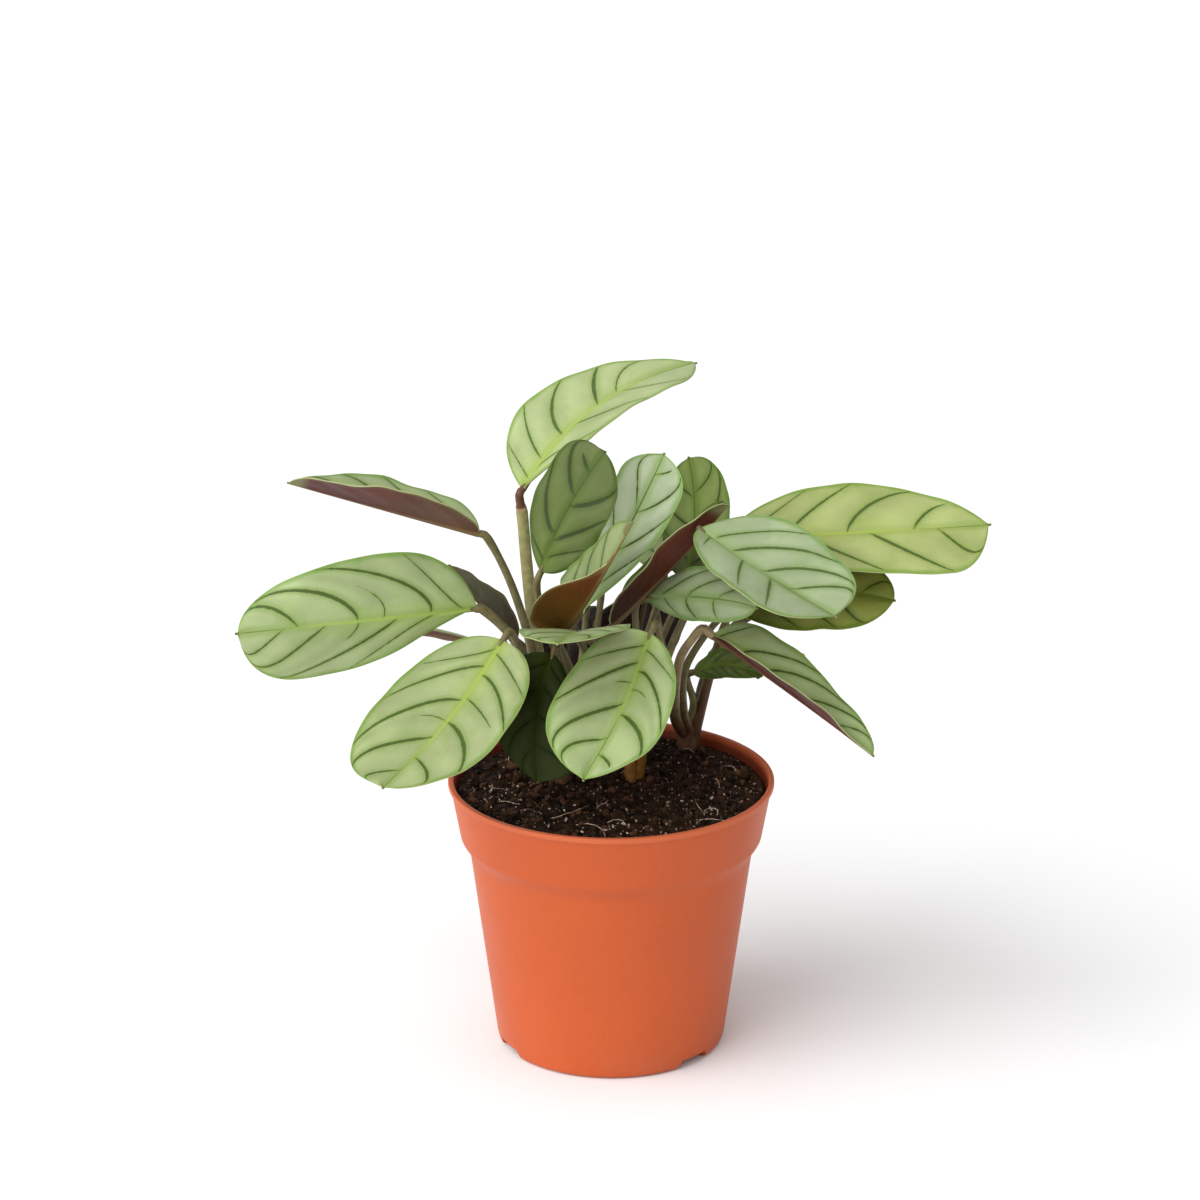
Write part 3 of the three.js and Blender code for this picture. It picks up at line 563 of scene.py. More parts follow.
def leaf_under(row):
    s = Shader("under_" + row["name"], Specular_IOR_Level=0.12)
    rib, along = s.value("rib_mm"), s.value("along")
    lines = s.math("SINE", s.times(s.value("vein_phase"), 60))
    s.colour = s.mix(s.step(along, 0.1, 0.75), *row["underside"])
    s.brighten(s.plus(s.cloud(45, 3, 0.8, 1.15), s.times(lines, 0.05)))
    s.lay((0.2, 0.16, 0.07), s.step(s.value("edge_mm"), 1.8, 0.2), 0.45)
    s.lay((0.05, 0.018, 0.012), s.step(vein_distance(s), s.value("vein_half"), 0), 0.3)
    rib_half = s.step(along, 0, 1, 1.3, 0.4)
    s.lay((0.17, 0.12, 0.05), s.step(rib, rib_half, s.times(rib_half, 0.6)), 0.6)
    # The tip is green on this side too
    s.lay((0.2, 0.22, 0.09), s.step(along, 0.87, 0.95, 0, 0.75))
    s.bump(s.plus(s.times(lines, 0.2), s.noise(900, 3)), 0.2, 0.4)
    return s.finish(s.cloud(90, 2, 0.42, 0.58))


def leaf_rim():
    s = Shader("leaf_rim", Specular_IOR_Level=0.4)
    s.colour = s.mix(s.noise(140), (0.36, 0.4, 0.17), (0.24, 0.24, 0.1))
    return s.finish(s.cloud(300, 2, 0.45, 0.6))


# Leaf blades

def outline(u, widest, rise, taper):
    u = np.minimum(u / (1 - CUSP_SHARE), 1)
    m = np.where(u < widest, 1 - u / widest, (u - widest) / (1 - widest))
    rising = np.clip(1 - m ** 2.4, 0, 1) ** rise
    falling = np.clip(1 - m ** 2.1, 0, 1) ** taper
    return np.where(u < widest, rising, falling)


def vein_place(vein, across):
    """Share of the midrib that a vein stands at, at a share of the way to the margin."""
    start, middle, end = (value / 100 for value in vein[:3])
    bend = ((end - start) / 0.9 - (middle - start) / 0.5) / 0.4
    return start + ((middle - start) / 0.5 - 0.5 * bend) * across + bend * across ** 2


def usual_veins(rng, count):
    starts = np.linspace(8, 74, count) + rng.uniform(-3, 3, count)
    return [(s, s + 11 + 0.03 * s, min(s + 27, 97), 55 + 20 * (k % 2)) for k, s in enumerate(starts)]


def smooth_count(x, places, counts):
    """A smooth rising curve that takes each count at its place."""
    gaps = np.diff(places)
    slopes = np.diff(counts) / gaps
    inner = 2 * slopes[1:] * slopes[:-1] / (slopes[1:] + slopes[:-1])
    slopes = np.array([slopes[0], *inner, slopes[-1]])
    k = np.clip(np.searchsorted(places, x) - 1, 0, len(gaps) - 1)
    t = np.clip((x - places[k]) / gaps[k], 0, 1)
    leaving = slopes[k] * t * (1 - t) ** 2 - slopes[k + 1] * t * t * (1 - t)
    ends = counts[k] * (1 + 2 * t) * (1 - t) ** 2 + counts[k + 1] * t * t * (3 - 2 * t)
    return ends + gaps[k] * leaving


def blade_grid():
    """Shares along and across a blade, closer together at its ends and margins."""
    even = np.linspace(0, 1, ROWS + 1)
    u = 0.5 * even + 0.5 * (1 - np.cos(np.pi * even)) / 2
    share = np.linspace(-1, 1, COLUMNS + 1)
    share = 0.45 * share + 0.55 * np.sin(0.5 * np.pi * share)
    return np.meshgrid(u, share, indexing="ij")


def blade_faces():
    """Faces of the upper side, the underside and the margin, and which are on the right half."""
    columns = COLUMNS + 1
    shift = (ROWS + 1) * columns
    i, j = (m.ravel() for m in np.meshgrid(np.arange(ROWS), np.arange(COLUMNS), indexing="ij"))
    near, far = i * columns + j, (i + 1) * columns + j
    upper = np.stack([near, near + 1, far + 1, far], 1)
    margin = []
    for k in range(ROWS):
        a, b = k * columns, (k + 1) * columns
        c, d = a + COLUMNS, b + COLUMNS
        margin += [[a, b, b + shift, a + shift], [c, c + shift, d + shift, d]]
    for k in range(COLUMNS):
        a = ROWS * columns + k
        margin += [[k, k + shift, k + 1 + shift, k + 1], [a, a + 1, a + 1 + shift, a + shift]]
    half = j >= COLUMNS // 2
    right = np.concatenate([half, half, np.ones(len(margin), bool)])
    return [upper, upper[:, ::-1] + shift, np.array(margin)], right


def spacing(place, phase):
    """Millimetres on the blade for one count of the phase."""
    step_u = np.linalg.norm(np.gradient(place, axis=0), axis=-1) + 1e-6
    step_v = np.linalg.norm(np.gradient(place, axis=1), axis=-1) + 1e-6
    slope = np.hypot(np.gradient(phase, axis=0) / step_u, np.gradient(phase, axis=1) / step_v)
    return np.clip(1 / (slope + 1e-3), 1, 40)


class Leaf:
    """One leaf's form: its midrib line and the points of its blade."""

    def __init__(self, row, seed):
        self.row = row
        rng = np.random.default_rng(seed)
        self.base = np.array(row["base"], float)
        self.chord = np.array(row["tip"], float) - self.base
        along = unit(self.chord)
        level = unit(UP - along * along[2])
        angle = radians(row["roll"])
        self.up = level * cos(angle) + np.cross(along, level) * sin(angle)
        self.right = np.cross(along, self.up)
        self.ripple = rng.uniform(0, 2 * pi, 4)
        self.veins = row["veins"] or [usual_veins(rng, count) for count in (4, 5)]

    def midrib(self, u):
        u = np.asarray(u, float)[..., None]
        bow, slope = 4 * u * (1 - u), 4 * (1 - 2 * u)
        arch, sweep = self.row["arch"], self.row["sweep"]
        point = self.base + self.chord * u + self.up * arch * bow + self.right * sweep * bow
        along = unit(self.chord + self.up * arch * slope + self.right * sweep * slope)
        side = unit(self.right - along * np.sum(self.right * along, -1, keepdims=True))
        return point, along, side, np.cross(side, along)

    def half_width(self, u, side):
        widest, rise, taper = (self.row[key][side] for key in ("widest", "rise", "taper"))
        blade = self.row["width"] / 2 * outline(u, widest, rise, taper)
        stalk = STALK_HALF_WIDTH * (1 - smooth(0.02, 0.08, u))
        cusp = CUSP_HALF_WIDTH * np.clip((1 - u) / (2 * CUSP_SHARE), 0, 1) ** 1.4 * smooth(0.9, 0.95, u)
        return np.maximum(np.maximum(blade, stalk), cusp)

    def phase(self, u, across, side):
        """Counts the veins: it is whole on each one, and grows from the base to the tip."""
        veins = self.veins[side]
        count = np.arange(len(veins) + 2, dtype=float)
        count[0], count[-1] = 0.5, len(veins) + 0.5
        made = np.empty_like(u)
        for j in range(u.shape[1]):
            places = [vein_place(vein, across[0, j]) for vein in veins]
            gap = (places[-1] - places[0]) / len(veins)
            known = np.array([places[0] - gap / 2, *places, places[-1] + gap / 2])
            known = np.maximum.accumulate(known) + 0.002 * count
            made[:, j] = smooth_count(u[:, j], known, count)
        return made

    def vein_half(self, phase, across, side):
        """Half the width of the nearest vein at a point, in millimetres."""
        veins = self.veins[side]
        width = np.array([0] + [vein[3] / 100 for vein in veins] + [0])
        reach = np.array([1] + [vein[4] / 100 if len(vein) > 4 else 1 for vein in veins] + [1])
        nearest = np.clip(np.rint(phase).astype(int), 0, len(veins) + 1)
        t = across / reach[nearest]
        swell = (0.35 + 0.65 * smooth(0, 0.22, t)) * (1 - 0.5 * smooth(0.5, 0.98, t))
        fade = (1 - smooth(0.94, 1, across)) * (1 - smooth(0.85, 1.08, t))
        size = min(1, self.row["width"] / 38)
        return VEIN_HALF_WIDTH * size * width[nearest] * swell * fade

    def waves(self, u, across, hand):
        """The blade's slow waves and the finer ripple of its margin."""
        middle = np.minimum(1, 6 * u * (1 - u))
        wave = self.row["wave"] * across ** 2 * np.sin(np.pi * (3 * u + 0.6 * hand))
        a, b, c, d = self.ripple
        ripple = np.sin(17 * u + a + hand * b) + 0.7 * np.sin(31 * u + c + hand * d)
        return (wave + EDGE_RIPPLE * across ** 3 * ripple) * middle

    def surface(self):
        """Points of the upper face on a grid, its normals, and the values that its finish reads."""
        u, share = blade_grid()
        # The midrib may bow a little to one side of the fold
        shift = self.row["bow"] * 4 * u * (1 - u)
        v = shift + share * (1 - np.sign(share) * shift)
        fraction, across = np.abs(share), np.abs(v)
        hand = np.where(v > 0, 1.0, -1.0)
        fold, curl = (np.radians(np.where(v > 0, *self.row[key][::-1])) for key in ("fold", "curl"))
        halves = [self.half_width(u, side) for side in (0, 1)]
        width = np.where(v > 0, halves[1], halves[0])
        span = np.where(share > 0, halves[1] * (1 - shift), halves[0] * (1 + shift))
        flat = (np.sin(fold + curl * across) - np.sin(fold)) / curl
        lift = (np.cos(fold) - np.cos(fold + curl * across)) / curl
        phases = [self.phase(u, fraction, side) for side in (0, 1)]
        phase = np.where(share > 0, phases[1], phases[0])
        cushion = smooth(0.03, 0.3, fraction) * (1 - smooth(0.75, 1, fraction))
        cushion = CUSHION * np.sin(np.pi * phase) ** 2 * cushion
        groove = GROOVE * np.exp(-(fraction * span / RIB_SPREAD) ** 2) * (1 - 0.6 * u)
        rise = width * lift + self.waves(u, across, hand) + cushion - groove
        point, along, side, out = self.midrib(u)
        place = point + side * (hand * width * flat)[..., None] + out * rise[..., None]
        normal = unit(np.cross(np.gradient(place, axis=1), np.gradient(place, axis=0)) + 1e-9 * out)
        values = {"along": u, "rib_mm": fraction * span, "edge_mm": (1 - fraction) * span}
        return place, normal, u, fraction, phases, values

    def build(self, materials, slot):
        place, normal, u, across, phases, values = self.surface()
        rib = RIB * (1 - u) * np.exp(-(values["rib_mm"] / RIB_SPREAD) ** 2)
        under = place - normal * (BLADE + rib)[..., None]
        points = np.concatenate([place.reshape(-1, 3), under.reshape(-1, 3)])
        sides, right_face = blade_faces()
        faces = np.concatenate(sides)
        slots = np.repeat([0, 1, 2], [len(side) for side in sides])
        piece = make_object("blade_" + self.row["name"], points, faces.tolist(), materials, slots)
        grid = faces % u.size
        reaches = [spacing(place, phase) for phase in phases]
        halves = [self.vein_half(phases[k], across, k) for k in (0, 1)]
        for name, pair in (("vein_phase", phases), ("vein_reach", reaches), ("vein_half", halves)):
            left, right = (pair[k].ravel()[grid] for k in (0, 1))
            give_values(piece, "CORNER", name, np.where(right_face[:, None], right, left))
        for name, value in values.items():
            give_values(piece, "CORNER", name, value.ravel()[grid])
        settle(piece, slot, "leaf_" + self.row["name"])


# Petioles

def spline(points, count):
    """A smooth centripetal line through points, at even steps of its length."""
    points = [np.array(p, float) for p in points]
    points = [2 * points[0] - points[1]] + points + [2 * points[-1] - points[-2]]
    dense = []
    for p0, p1, p2, p3 in zip(points, points[1:], points[2:], points[3:]):
        d0, d1, d2 = (np.linalg.norm(b - a) ** 0.5 for a, b in ((p0, p1), (p1, p2), (p2, p3)))
        t1 = ((p1 - p0) / d0 - (p2 - p0) / (d0 + d1) + (p2 - p1) / d1) * d1
        t2 = ((p2 - p1) / d1 - (p3 - p1) / (d1 + d2) + (p3 - p2) / d2) * d1
        square, cube = 3 * p2 - 3 * p1 - 2 * t1 - t2, 2 * p1 - 2 * p2 + t1 + t2
        for t in np.linspace(0, 1, 40, endpoint=False):
            dense.append(p1 + t1 * t + square * t ** 2 + cube * t ** 3)
    dense = np.array(dense + [points[-2]])
    length = np.concatenate([[0], np.cumsum(np.linalg.norm(np.diff(dense, axis=0), axis=1))])
    even = np.linspace(0, length[-1], count)
    return np.stack([np.interp(even, length, dense[:, k]) for k in range(3)], 1), length[-1]


def petiole_material():
    s = Shader("petiole", Specular_IOR_Level=0.35)
    rise, turn, run, tone = map(s.value, ("rise", "turn", "run_mm", "tone"))
    around = (s.math("COSINE", turn), s.math("SINE", turn), s.times(run, 0.05))
    streaks = s.noise(3.2, 4, s.fill(s.node("CombineXYZ"), around))
    # Dark red-brown: the stems' own colour, made darker as painted shade low down under the leaves
    s.colour = s.mix(streaks, (0.13, 0.05, 0.012), (0.04, 0.02, 0.008))
    # The middle shoot's own orange-brown base, made lighter as painted light
    s.lay((0.235, 0.105, 0.016), s.value("orange_and_painted_light"))
    s.lay(s.mix(streaks, (0.1, 0.086, 0.03), (0.19, 0.16, 0.07)), s.step(rise, 0.25, 0.62))
    s.lay(s.mix(streaks, (0.15, 0.14, 0.046), (0.11, 0.07, 0.03)), s.step(run, -14, -4))
    s.lay((0.34, 0.26, 0.13), s.step(tone, 0, 1), s.step(rise, 0.35, 0.7))
    # With a tone of -1: olive, with a reddish joint and a papery ring under it
    olive = s.step(tone, 0, -1)
    s.lay((0.32, 0.3, 0.115), olive, s.step(rise, 0.1, 0.5, 0, 0.8))
    red = s.mix(streaks, (0.075, 0.026, 0.01), (0.15, 0.058, 0.028))
    s.lay(red, olive, s.step(run, -10.5, -9.5))
    ring = s.times(s.step(run, -11.6, -10.9), s.step(run, -9.6, -10.3))
    s.lay((0.36, 0.26, 0.13), ring, olive)
    s.brighten(s.step(s.noise(400, 3), 0.3, 0.75, 0.8, 1.2))
    s.bump(s.plus(streaks, s.times(s.noise(700), 0.4)), 0.2, 0.5)
    return s.finish(s.cloud(90, 2, 0.4, 0.6))


def stem_route(form, foot):
    point, along, _, out = form.midrib(0)
    end = point - along * CLEARANCE
    under_rib = point + along * 2.5 - out * 0.75
    route = [foot, (*foot[:2], STEM_FOOT_Z + HOLE_DEPTH), *form.row["via"]]
    return route + [end - along * form.row["stalk"][2], end - out * 0.35, under_rib]


def stem_radii(row, t, left):
    """Thinner towards the blade, with a swollen joint and a thin end under the midrib."""
    thick, thin = row["stalk"][:2]
    radii = thin + (thick - thin) * (1 - t) ** 1.5
    if row["tone"] < 0:
        radii = radii * (1 - 0.33 * smooth(10.5, 9.5, left))
    radii = radii + JOINT_SWELL * np.exp(-((left - JOINT_PLACE) / JOINT_SPREAD) ** 2)
    return radii * (1 - 0.5 * smooth(3, 0, left))


def build_shoot(name, forms, material):
    own = [form for form in forms if form.row["shoot"] == name]
    x, y = SHOOTS[name]
    stems, values = [], []
    for k, (form, angle) in enumerate(zip(own, turns(len(own)))):
        aside, ahead = polar(SHOOT_SPREAD, angle)
        route = stem_route(form, (x + aside, y + ahead, STEM_FOOT_Z))
        line, length = spline(route, STEM_RINGS)
        t = np.linspace(0, 1, STEM_RINGS)
        left = (1 - t) * length
        stems.append(tube(line, stem_radii(form.row, t, left), STEM_SIDES))
        around = 2 * np.pi * np.arange(STEM_SIDES) / STEM_SIDES + k
        same = np.ones(STEM_RINGS * STEM_SIDES)
        values.append([np.repeat(t, STEM_SIDES), np.tile(around, STEM_RINGS),
                       np.repeat(-left, STEM_SIDES), same * form.row["tone"], same * (name == "middle")])
    piece = make_object("stems_" + name, *join(stems), [material], sharp=60)
    for key, value in zip(("rise", "turn", "run_mm", "tone", "orange_and_painted_light"), np.concatenate(values, axis=1)):
        give_values(piece, "POINT", key, value)
    settle(piece, "stems", "shoot_" + name)


# Pot

def pot_profile():
    """Radius and height, from the underside round the foot, up the outside and down the inside."""
    wall = WALL / cos(atan2(RIM_RADIUS - BODY_BOTTOM[0], POT_HEIGHT))
    # Each corner's radius, height and rounding
    corners = [
        (FOOT_RADIUS - FOOT_WIDTH - 0.3, FLOOR_BOTTOM, 0.3),
        (FOOT_RADIUS - FOOT_WIDTH, 0, 0.3),
        (FOOT_RADIUS, 0, 0.5),
        (BODY_BOTTOM[0] - 0.6, 0.9, 0.6),
        (*BODY_BOTTOM, 1),
        (*BODY_TOP, 1.2),
        (BODY_TOP[0] + 0.8, BODY_TOP[1] + 2.6, 1),
        (COLLAR_BOTTOM[0] - 0.5, COLLAR_BOTTOM[1] - 1, 0.8),
        (*COLLAR_BOTTOM, 0.8),
        (RIM_RADIUS - 1, POT_HEIGHT - LIP_HEIGHT - 0.8, 0.4),
        (RIM_RADIUS, POT_HEIGHT - LIP_HEIGHT, 0.3),
        (RIM_RADIUS, POT_HEIGHT, 0.55),
        (RIM_RADIUS - LIP_WIDTH, POT_HEIGHT, 0.5),
        (COLLAR_BOTTOM[0] - wall, COLLAR_BOTTOM[1] + 0.4, 1),
        (BODY_TOP[0] + 0.4 - wall, BODY_TOP[1] + 3.6, 1),
        (BODY_TOP[0] - wall, BODY_TOP[1], 1),
        (BODY_BOTTOM[0] - wall, FLOOR_TOP, 0.8),
    ]
    ends = [(0, FLOOR_BOTTOM, 0)] + corners + [(0, FLOOR_TOP, 0)]
    line = [(0.02, FLOOR_BOTTOM)]
    for before, corner, after in zip(ends, ends[1:], ends[2:]):
        here = np.array(corner[:2])
        back, on = np.array(before[:2]) - here, np.array(after[:2]) - here
        cut = min(corner[2], 0.45 * np.linalg.norm(back), 0.45 * np.linalg.norm(on))
        start, end = here + unit(back) * cut, here + unit(on) * cut
        for t in np.linspace(0, 1, 5):
            line.append(tuple((1 - t) ** 2 * start + 2 * t * (1 - t) * here + t ** 2 * end))
    return line + [(0.02, FLOOR_TOP)]


def notch_cutter(angle):
    half, top, below = NOTCH_BOTTOM_WIDTH / 2, NOTCH_TOP_WIDTH / 2, 2
    low = half + (half - top) * below / NOTCH_HEIGHT
    section = [(-low, -below), (low, -below), (top, NOTCH_HEIGHT), (-top, NOTCH_HEIGHT)]
    turn = Matrix.Rotation(radians(angle), 3, "Z")
    depths = (-FOOT_RADIUS - 6, -FOOT_RADIUS + 8)
    points = [tuple(turn @ Vector((x, y, z))) for y in depths for x, z in section]
    faces = [[0, 1, 2, 3], [7, 6, 5, 4], [0, 4, 5, 1], [1, 5, 6, 2], [2, 6, 7, 3], [3, 7, 4, 0]]
    return make_object("cutter", points, faces)


def drain_cutter(angle):
    x, y = polar(DRAIN_RING, angle)
    ring = [(x + a, y + b) for a, b in (polar(DRAIN_RADIUS, t) for t in turns(DRAIN_SIDES))]
    points = [(*p, z) for z in (FLOOR_BOTTOM - 2, FLOOR_TOP + 2) for p in ring]
    lower = list(range(DRAIN_SIDES))
    upper = [DRAIN_SIDES + m for m in lower]
    faces = [[m, lower[m - DRAIN_SIDES + 1], upper[m - DRAIN_SIDES + 1], upper[m]] for m in lower]
    return make_object("cutter", points, faces + [lower[::-1], upper])


def pot_material():
    s = Shader("pot_plastic", Specular_IOR_Level=0.22)
    split = s.node("SeparateXYZ")
    s.put(split.inputs[0], s.place())
    x, y, height = split.outputs
    radius = s.math("SQRT", s.plus(s.times(x, x), s.times(y, y)))
    s.colour = POT_ORANGE
    s.brighten(s.times(s.cloud(14, 3, 0.95, 1.05), s.step(s.noise(900), 0.25, 0.75, 0.97, 1.03)))
    s.lay(POT_DUST, s.times(s.step(height, 0.018, 0), s.step(s.noise(60, 4), 0.4, 0.7)), 0.2)
    # Painted light: the top of the rim made lighter, where it faces up to the light
    s.lay(POT_RIM_PAINTED_LIGHT, s.step(height, 0.0996, 0.101), 0.3)
    # The inside of the collar is darkened as painted shade; the middle of its wall flares with the height
    middle = s.math("MULTIPLY_ADD", height, 0.176, 0.0407)
    inside = s.times(s.step(s.minus(radius, middle), 0.0001, -0.0003), s.step(height, 0.088, 0.092))
    s.lay(POT_INSIDE_PAINTED_SHADE, s.times(inside, s.step(height, 0.102, 0.0995)), 0.85)
    s.bump(s.plus(s.noise(1600), s.times(s.noise(40), 2)), 0.05, 0.25)
    return s.finish(s.cloud(30, 3, 0.4, 0.5))


def build_pot():
    line = pot_profile()
    count = len(line)
    points, faces = [], []
    for k, angle in enumerate(turns(POT_SEGMENTS)):
        points += [(*polar(r, angle), z) for r, z in line]
        n = (k + 1) % POT_SEGMENTS
        for m in range(count - 1):
            faces.append([k * count + m, n * count + m, n * count + m + 1, k * count + m + 1])
    faces.append([k * count for k in range(POT_SEGMENTS)][::-1])
    faces.append([k * count + count - 1 for k in range(POT_SEGMENTS)])
    piece = make_object("pot_shell", points, faces)
    cutters = [notch_cutter(angle) for angle in NOTCH_ANGLES]
    cutters += [drain_cutter(angle) for angle in turns(DRAIN_COUNT)]
    for tool in cutters:
        modifier = piece.modifiers.new("cut", "BOOLEAN")
        modifier.operation = "DIFFERENCE"
        modifier.object = tool
        modifier.solver = "EXACT"
    graph = bpy.context.evaluated_depsgraph_get()
    cut = bpy.data.meshes.new_from_object(piece.evaluated_get(graph))
    piece.modifiers.clear()
    piece.data = cut
    for tool in cutters:
        bpy.data.objects.remove(tool)
    shade_smooth(cut, 35)
    cut.materials.clear()
    cut.materials.append(pot_material())
    settle(piece, "pot_plastic", "pot")


# Soil

def soil_height(x, y):
    """A gentle mound, with clods, lumps and crumbs that flatten towards the wall."""
    share = hypot(x, y) / SOIL_RADIUS
    clods = sin(0.31 * x + 1.2) * cos(0.27 * y) + 0.6 * sin(0.53 * y - 0.47 * x)
    mound = SOIL_EDGE_Z + SOIL_MOUND * (1 - share * share) + 1.1 * clods * (1 - share ** 6)
    lumps = noise.fractal(Vector((x, y, 3)) * 0.16, 1, 2, 4)
    crumbs = abs(noise.noise(Vector((x, y, 9)) * 0.55)) + 0.5 * abs(noise.noise(Vector((x, y, 5)) * 1.3))
    return mound + (1.1 * lumps + 1.5 * crumbs - 0.5) * (1 - 0.6 * share ** 8)


def soil_material():
    s = Shader("potting_soil", Specular_IOR_Level=0.1)
    s.colour = s.mix(s.step(s.noise(260, 4), 0.38, 0.64), SOIL_DARK, (0.042, 0.02, 0.009))
    s.lay((0.085, 0.042, 0.022), s.step(s.noise(900, 3), 0.6, 0.72))
    # Small bright grains in some of the cells, painted highlights for the soil's glints
    cells = s.node("TexVoronoi")
    s.put(cells.inputs["Vector"], s.place())
    cells.inputs["Scale"].default_value = 800
    kind = s.fill(s.node("SeparateXYZ"), (cells.outputs["Color"],))
    painted_glint = s.times(s.step(kind, 0.86, 0.88), s.step(cells.outputs["Distance"], 0.42, 0.2))
    s.lay((0.42, 0.33, 0.24), painted_glint, 0.85)
    s.bump(s.plus(s.noise(700, 4), s.noise(2200)), 0.7, 1)
    return s.finish(s.cloud(500, 2, 0.45, 0.95))


def crumb_material():
    s = Shader("soil_crumb", Specular_IOR_Level=0.12)
    tone = s.value("tone")
    s.colour = s.mix(s.step(tone, 0.1, 0.8), SOIL_DARK, (0.075, 0.032, 0.014))
    # Pale: the root fibres' own colour, and painted highlights on the flecks and small crumbs
    s.lay((0.62, 0.47, 0.36), s.step(tone, 0.84, 1))
    s.brighten(s.cloud(900, 3, 0.6, 1.35))
    s.bump(s.noise(1500, 3), 0.4, 0.8)
    return s.finish(s.cloud(500, 2, 0.45, 0.9))


def strewn(rng, inset):
    """A random place on the soil, clear of the wall."""
    radius = (SOIL_RADIUS - inset) * sqrt(rng.uniform())
    return polar(radius, rng.uniform(0, 2 * pi))


def crumb_forms(rng):
    """Small lumps: the line, radii, sides and tone of each."""
    for k in range(CRUMBS):
        x, y = strewn(rng, 2.5)
        size = 0.3 + 1.4 * rng.uniform() ** 3
        # Only small crumbs may turn pale, as painted glints
        tone = rng.uniform() if size < 0.45 else 0.85 * rng.uniform()
        centre = np.array([x, y, soil_height(x, y) + 0.25 * size])
        axis = unit(rng.normal(size=3))
        stations = np.cos(np.linspace(pi, 0, 6))
        line = centre + np.outer(stations * size * rng.uniform(1, 1.8), axis)
        yield line, size * np.sqrt(1 - 0.97 * stations ** 2) * rng.uniform(0.7, 1.2, 6), 7, tone


def glint_fleck_forms(rng):
    """Pale flecks, painted highlights for the soil's glints, thickest at a few spots."""
    for k in range(GLINT_FLECKS):
        x, y, spread = GLINT_FLECK_SPOTS[k % len(GLINT_FLECK_SPOTS)]
        x, y = x + spread * rng.normal(), y + spread * rng.normal()
        if hypot(x, y) > SOIL_RADIUS - 2:
            continue
        size = 0.12 + 0.42 * rng.uniform() ** 3
        centre = np.array([x, y, soil_height(x, y) + 0.9])
        line = centre + np.outer([-1, -0.3, 0.3, 1], unit(rng.normal(size=3))) * size * rng.uniform(1, 2.2)
        yield line, size * np.array([0.5, 1, 0.9, 0.4]), 5, rng.uniform(0.8, 1.0)


def fibre_forms(rng):
    """Curly pale root fibres: the named ones, and many short thin ones strewn about."""
    rows = [(*row, 0.15, 1) for row in FIBRES]
    for k in range(STRAY_FIBRES):
        rows.append((*strewn(rng, 8), rng.uniform(0, 360), rng.uniform(3, 7), rng.uniform(-80, 80),
                     rng.uniform(0.07, 0.11), rng.uniform(0.7, 0.96)))
    share = np.linspace(0, 1, FIBRE_POINTS)
    for x, y, heading, length, curl, thick, tone in rows:
        turn = np.radians(heading + curl * share)
        steps = np.stack([np.cos(turn), np.sin(turn)], 1) * length / (FIBRE_POINTS - 1)
        flat = np.cumsum(steps, axis=0) + (x, y)
        ground = np.array([soil_height(*place) for place in flat])
        lift = 0.7 + 1.1 * np.sin(pi * share) + rng.uniform(-0.15, 0.15, FIBRE_POINTS)
        line = np.column_stack([flat, np.maximum(ground + 0.2, ground.mean() + lift)])
        yield line, thick * np.linspace(1.1, 0.6, FIBRE_POINTS), 6, tone


def build_crumbs(material):
    """Small lumps, pale flecks painted as glints, and curly fibres on the soil."""
    rng = np.random.default_rng(11)
    parts, tones = [], []
    for forms in (crumb_forms, glint_fleck_forms, fibre_forms):
        for line, radii, sides, tone in forms(rng):
            parts.append(tube(line, radii, sides, facing=unit(rng.normal(size=3))))
            tones.append(np.full(len(line) * sides, tone))
    piece = make_object("soil_crumbs", *join(parts), [material], sharp=60)
    give_values(piece, "POINT", "tone", np.concatenate(tones))
    settle(piece, "potting_soil")


def build_soil(material):
    points, faces = [(0, 0, soil_height(0, 0))], []
    for ring in range(1, SOIL_RINGS + 1):
        radius = SOIL_RADIUS * (ring / SOIL_RINGS) ** 0.85
        for x, y in (polar(radius, angle) for angle in turns(SOIL_SEGMENTS)):
            points.append((x, y, soil_height(x, y)))
    skirt = [(SOIL_RADIUS - 0.6, SOIL_EDGE_Z - 4), (50.3, BODY_TOP[1]), (41.2, FLOOR_TOP + CLEARANCE)]
    for radius, z in skirt:
        points += [(*polar(radius, angle), z) for angle in turns(SOIL_SEGMENTS)]
    rings = SOIL_RINGS + len(skirt)

    def at(ring, k):
        return 1 + ring * SOIL_SEGMENTS + k % SOIL_SEGMENTS

    for k in range(SOIL_SEGMENTS):
        faces.append([0, at(0, k), at(0, k + 1)])
        for ring in range(rings - 1):
            faces.append([at(ring, k), at(ring + 1, k), at(ring + 1, k + 1), at(ring, k + 1)])
    faces.append([at(rings - 1, k) for k in range(SOIL_SEGMENTS)][::-1])
    piece = make_object("soil_surface", points, faces, [material], sharp=80)
    settle(piece, "potting_soil", "soil")


# Floor, light and camera

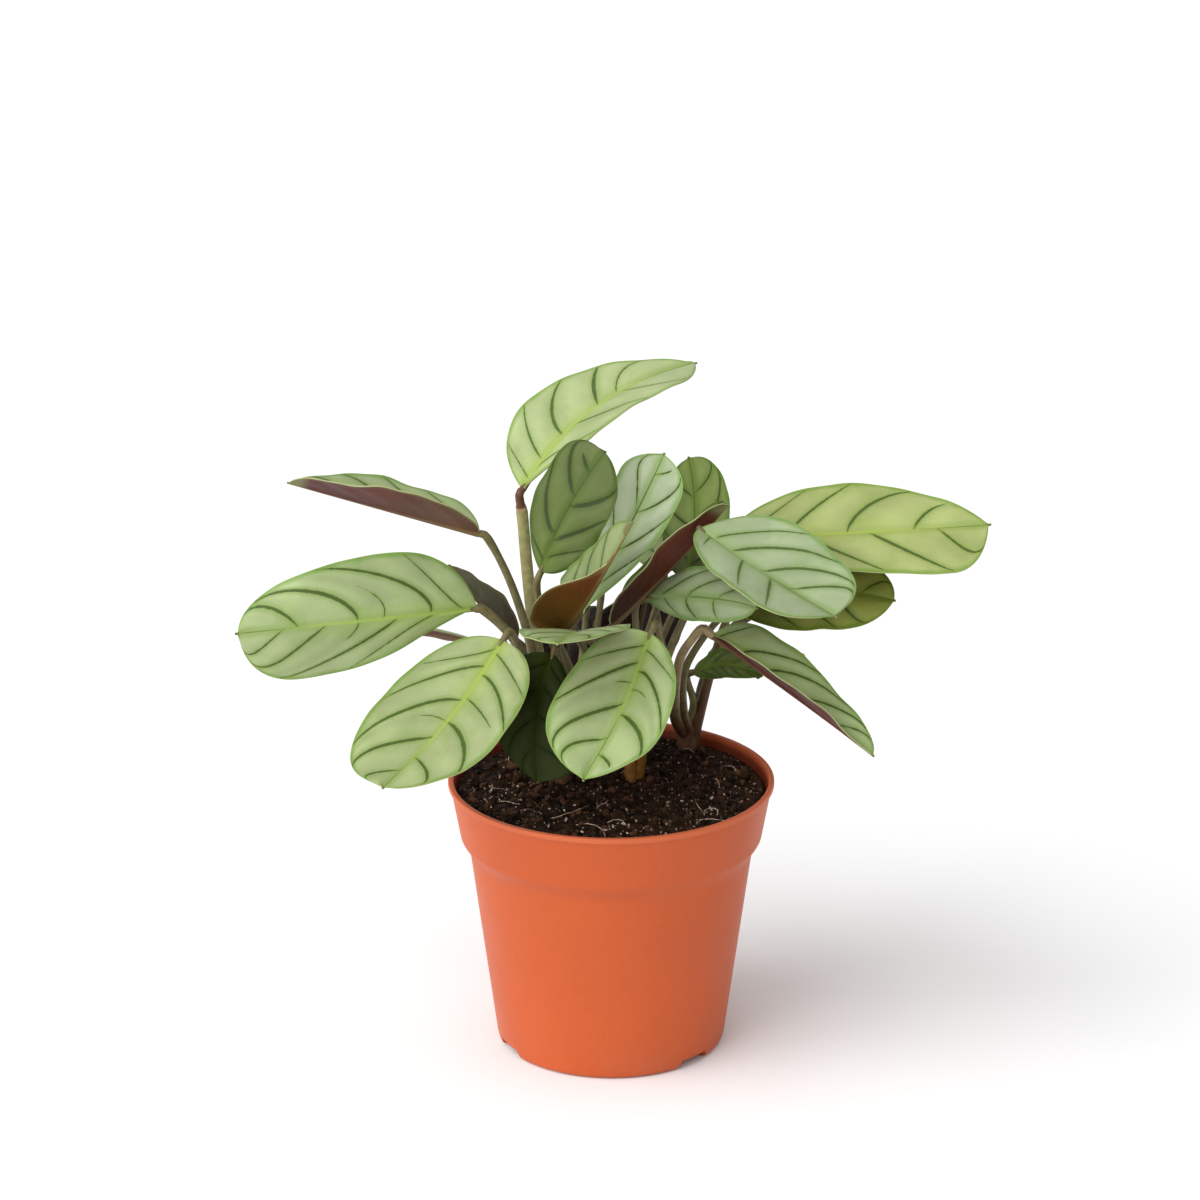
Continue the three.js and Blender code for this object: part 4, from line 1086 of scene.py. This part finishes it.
def build_floor():
    mesh = bpy.data.meshes.new("floor")
    corners = [(x * FLOOR_REACH, y * FLOOR_REACH, 0) for x, y in ((-1, -1), (1, -1), (1, 1), (-1, 1))]
    mesh.from_pydata(corners, [], [[0, 1, 2, 3]])
    floor = show("floor", mesh)
    s = Shader("floor_white", Roughness=0.75, Specular_IOR_Level=0.2)
    s.colour = FLOOR_WHITE
    s.brighten(s.cloud(3, 2, 0.99, 1.01))
    mesh.materials.append(s.finish())
    floor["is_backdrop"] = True


def aim(piece, direction):
    piece.rotation_euler = direction.to_track_quat("-Z", "Y").to_euler()


def build_light():
    world = bpy.data.worlds.new("studio")
    scene.world = world
    world.use_nodes = True
    background = world.node_tree.nodes["Background"]
    background.inputs["Color"].default_value = (1, 1, 1, 1)
    background.inputs["Strength"].default_value = WORLD_LIGHT
    key = bpy.data.lights.new("key", "SUN")
    key.energy = KEY_POWER
    key.angle = radians(KEY_ANGLE)
    aim(show("key", key), -Vector(KEY_FROM))
    for name, (place, target, size, power) in PANELS.items():
        panel = bpy.data.lights.new(name, "AREA")
        panel.shape = "RECTANGLE"
        panel.size, panel.size_y = size
        panel.energy = power
        piece = show(name, panel)
        piece.location = place
        aim(piece, Vector(target) - Vector(place))


def build_camera():
    camera = bpy.data.cameras.new("camera")
    camera.lens = CAMERA_LENS
    camera.sensor_width = CAMERA_SENSOR
    piece = show("camera", camera)
    piece.location = Vector(CAMERA_PLACE) * MM
    piece.rotation_euler = (radians(CAMERA_TILT), 0, 0)
    bpy.context.scene.camera = piece


def build_plant():
    forms = [Leaf(row, 20 + k) for k, row in enumerate(LEAVES)]
    rim = leaf_rim()
    for k, form in enumerate(forms):
        # Each leaf's own tone and painted light, with a little random tone on top
        light = form.row["light"] + 0.03 * sin(5.1 * k)
        slot = TINTS[form.row["tint"]][2]
        form.build([leaf_face(form.row, light), leaf_under(form.row), rim], slot)
    petiole = petiole_material()
    for name in SHOOTS:
        build_shoot(name, forms, petiole)


build_camera()
build_light()
build_floor()
build_pot()
build_soil(soil_material())
build_crumbs(crumb_material())
build_plant()
scene.view_settings.view_transform = "Standard"

sizes = {"cad": cad_box, "visual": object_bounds()}
sizes = {key: [[float(v) for v in corner] for corner in box] for key, box in sizes.items()}
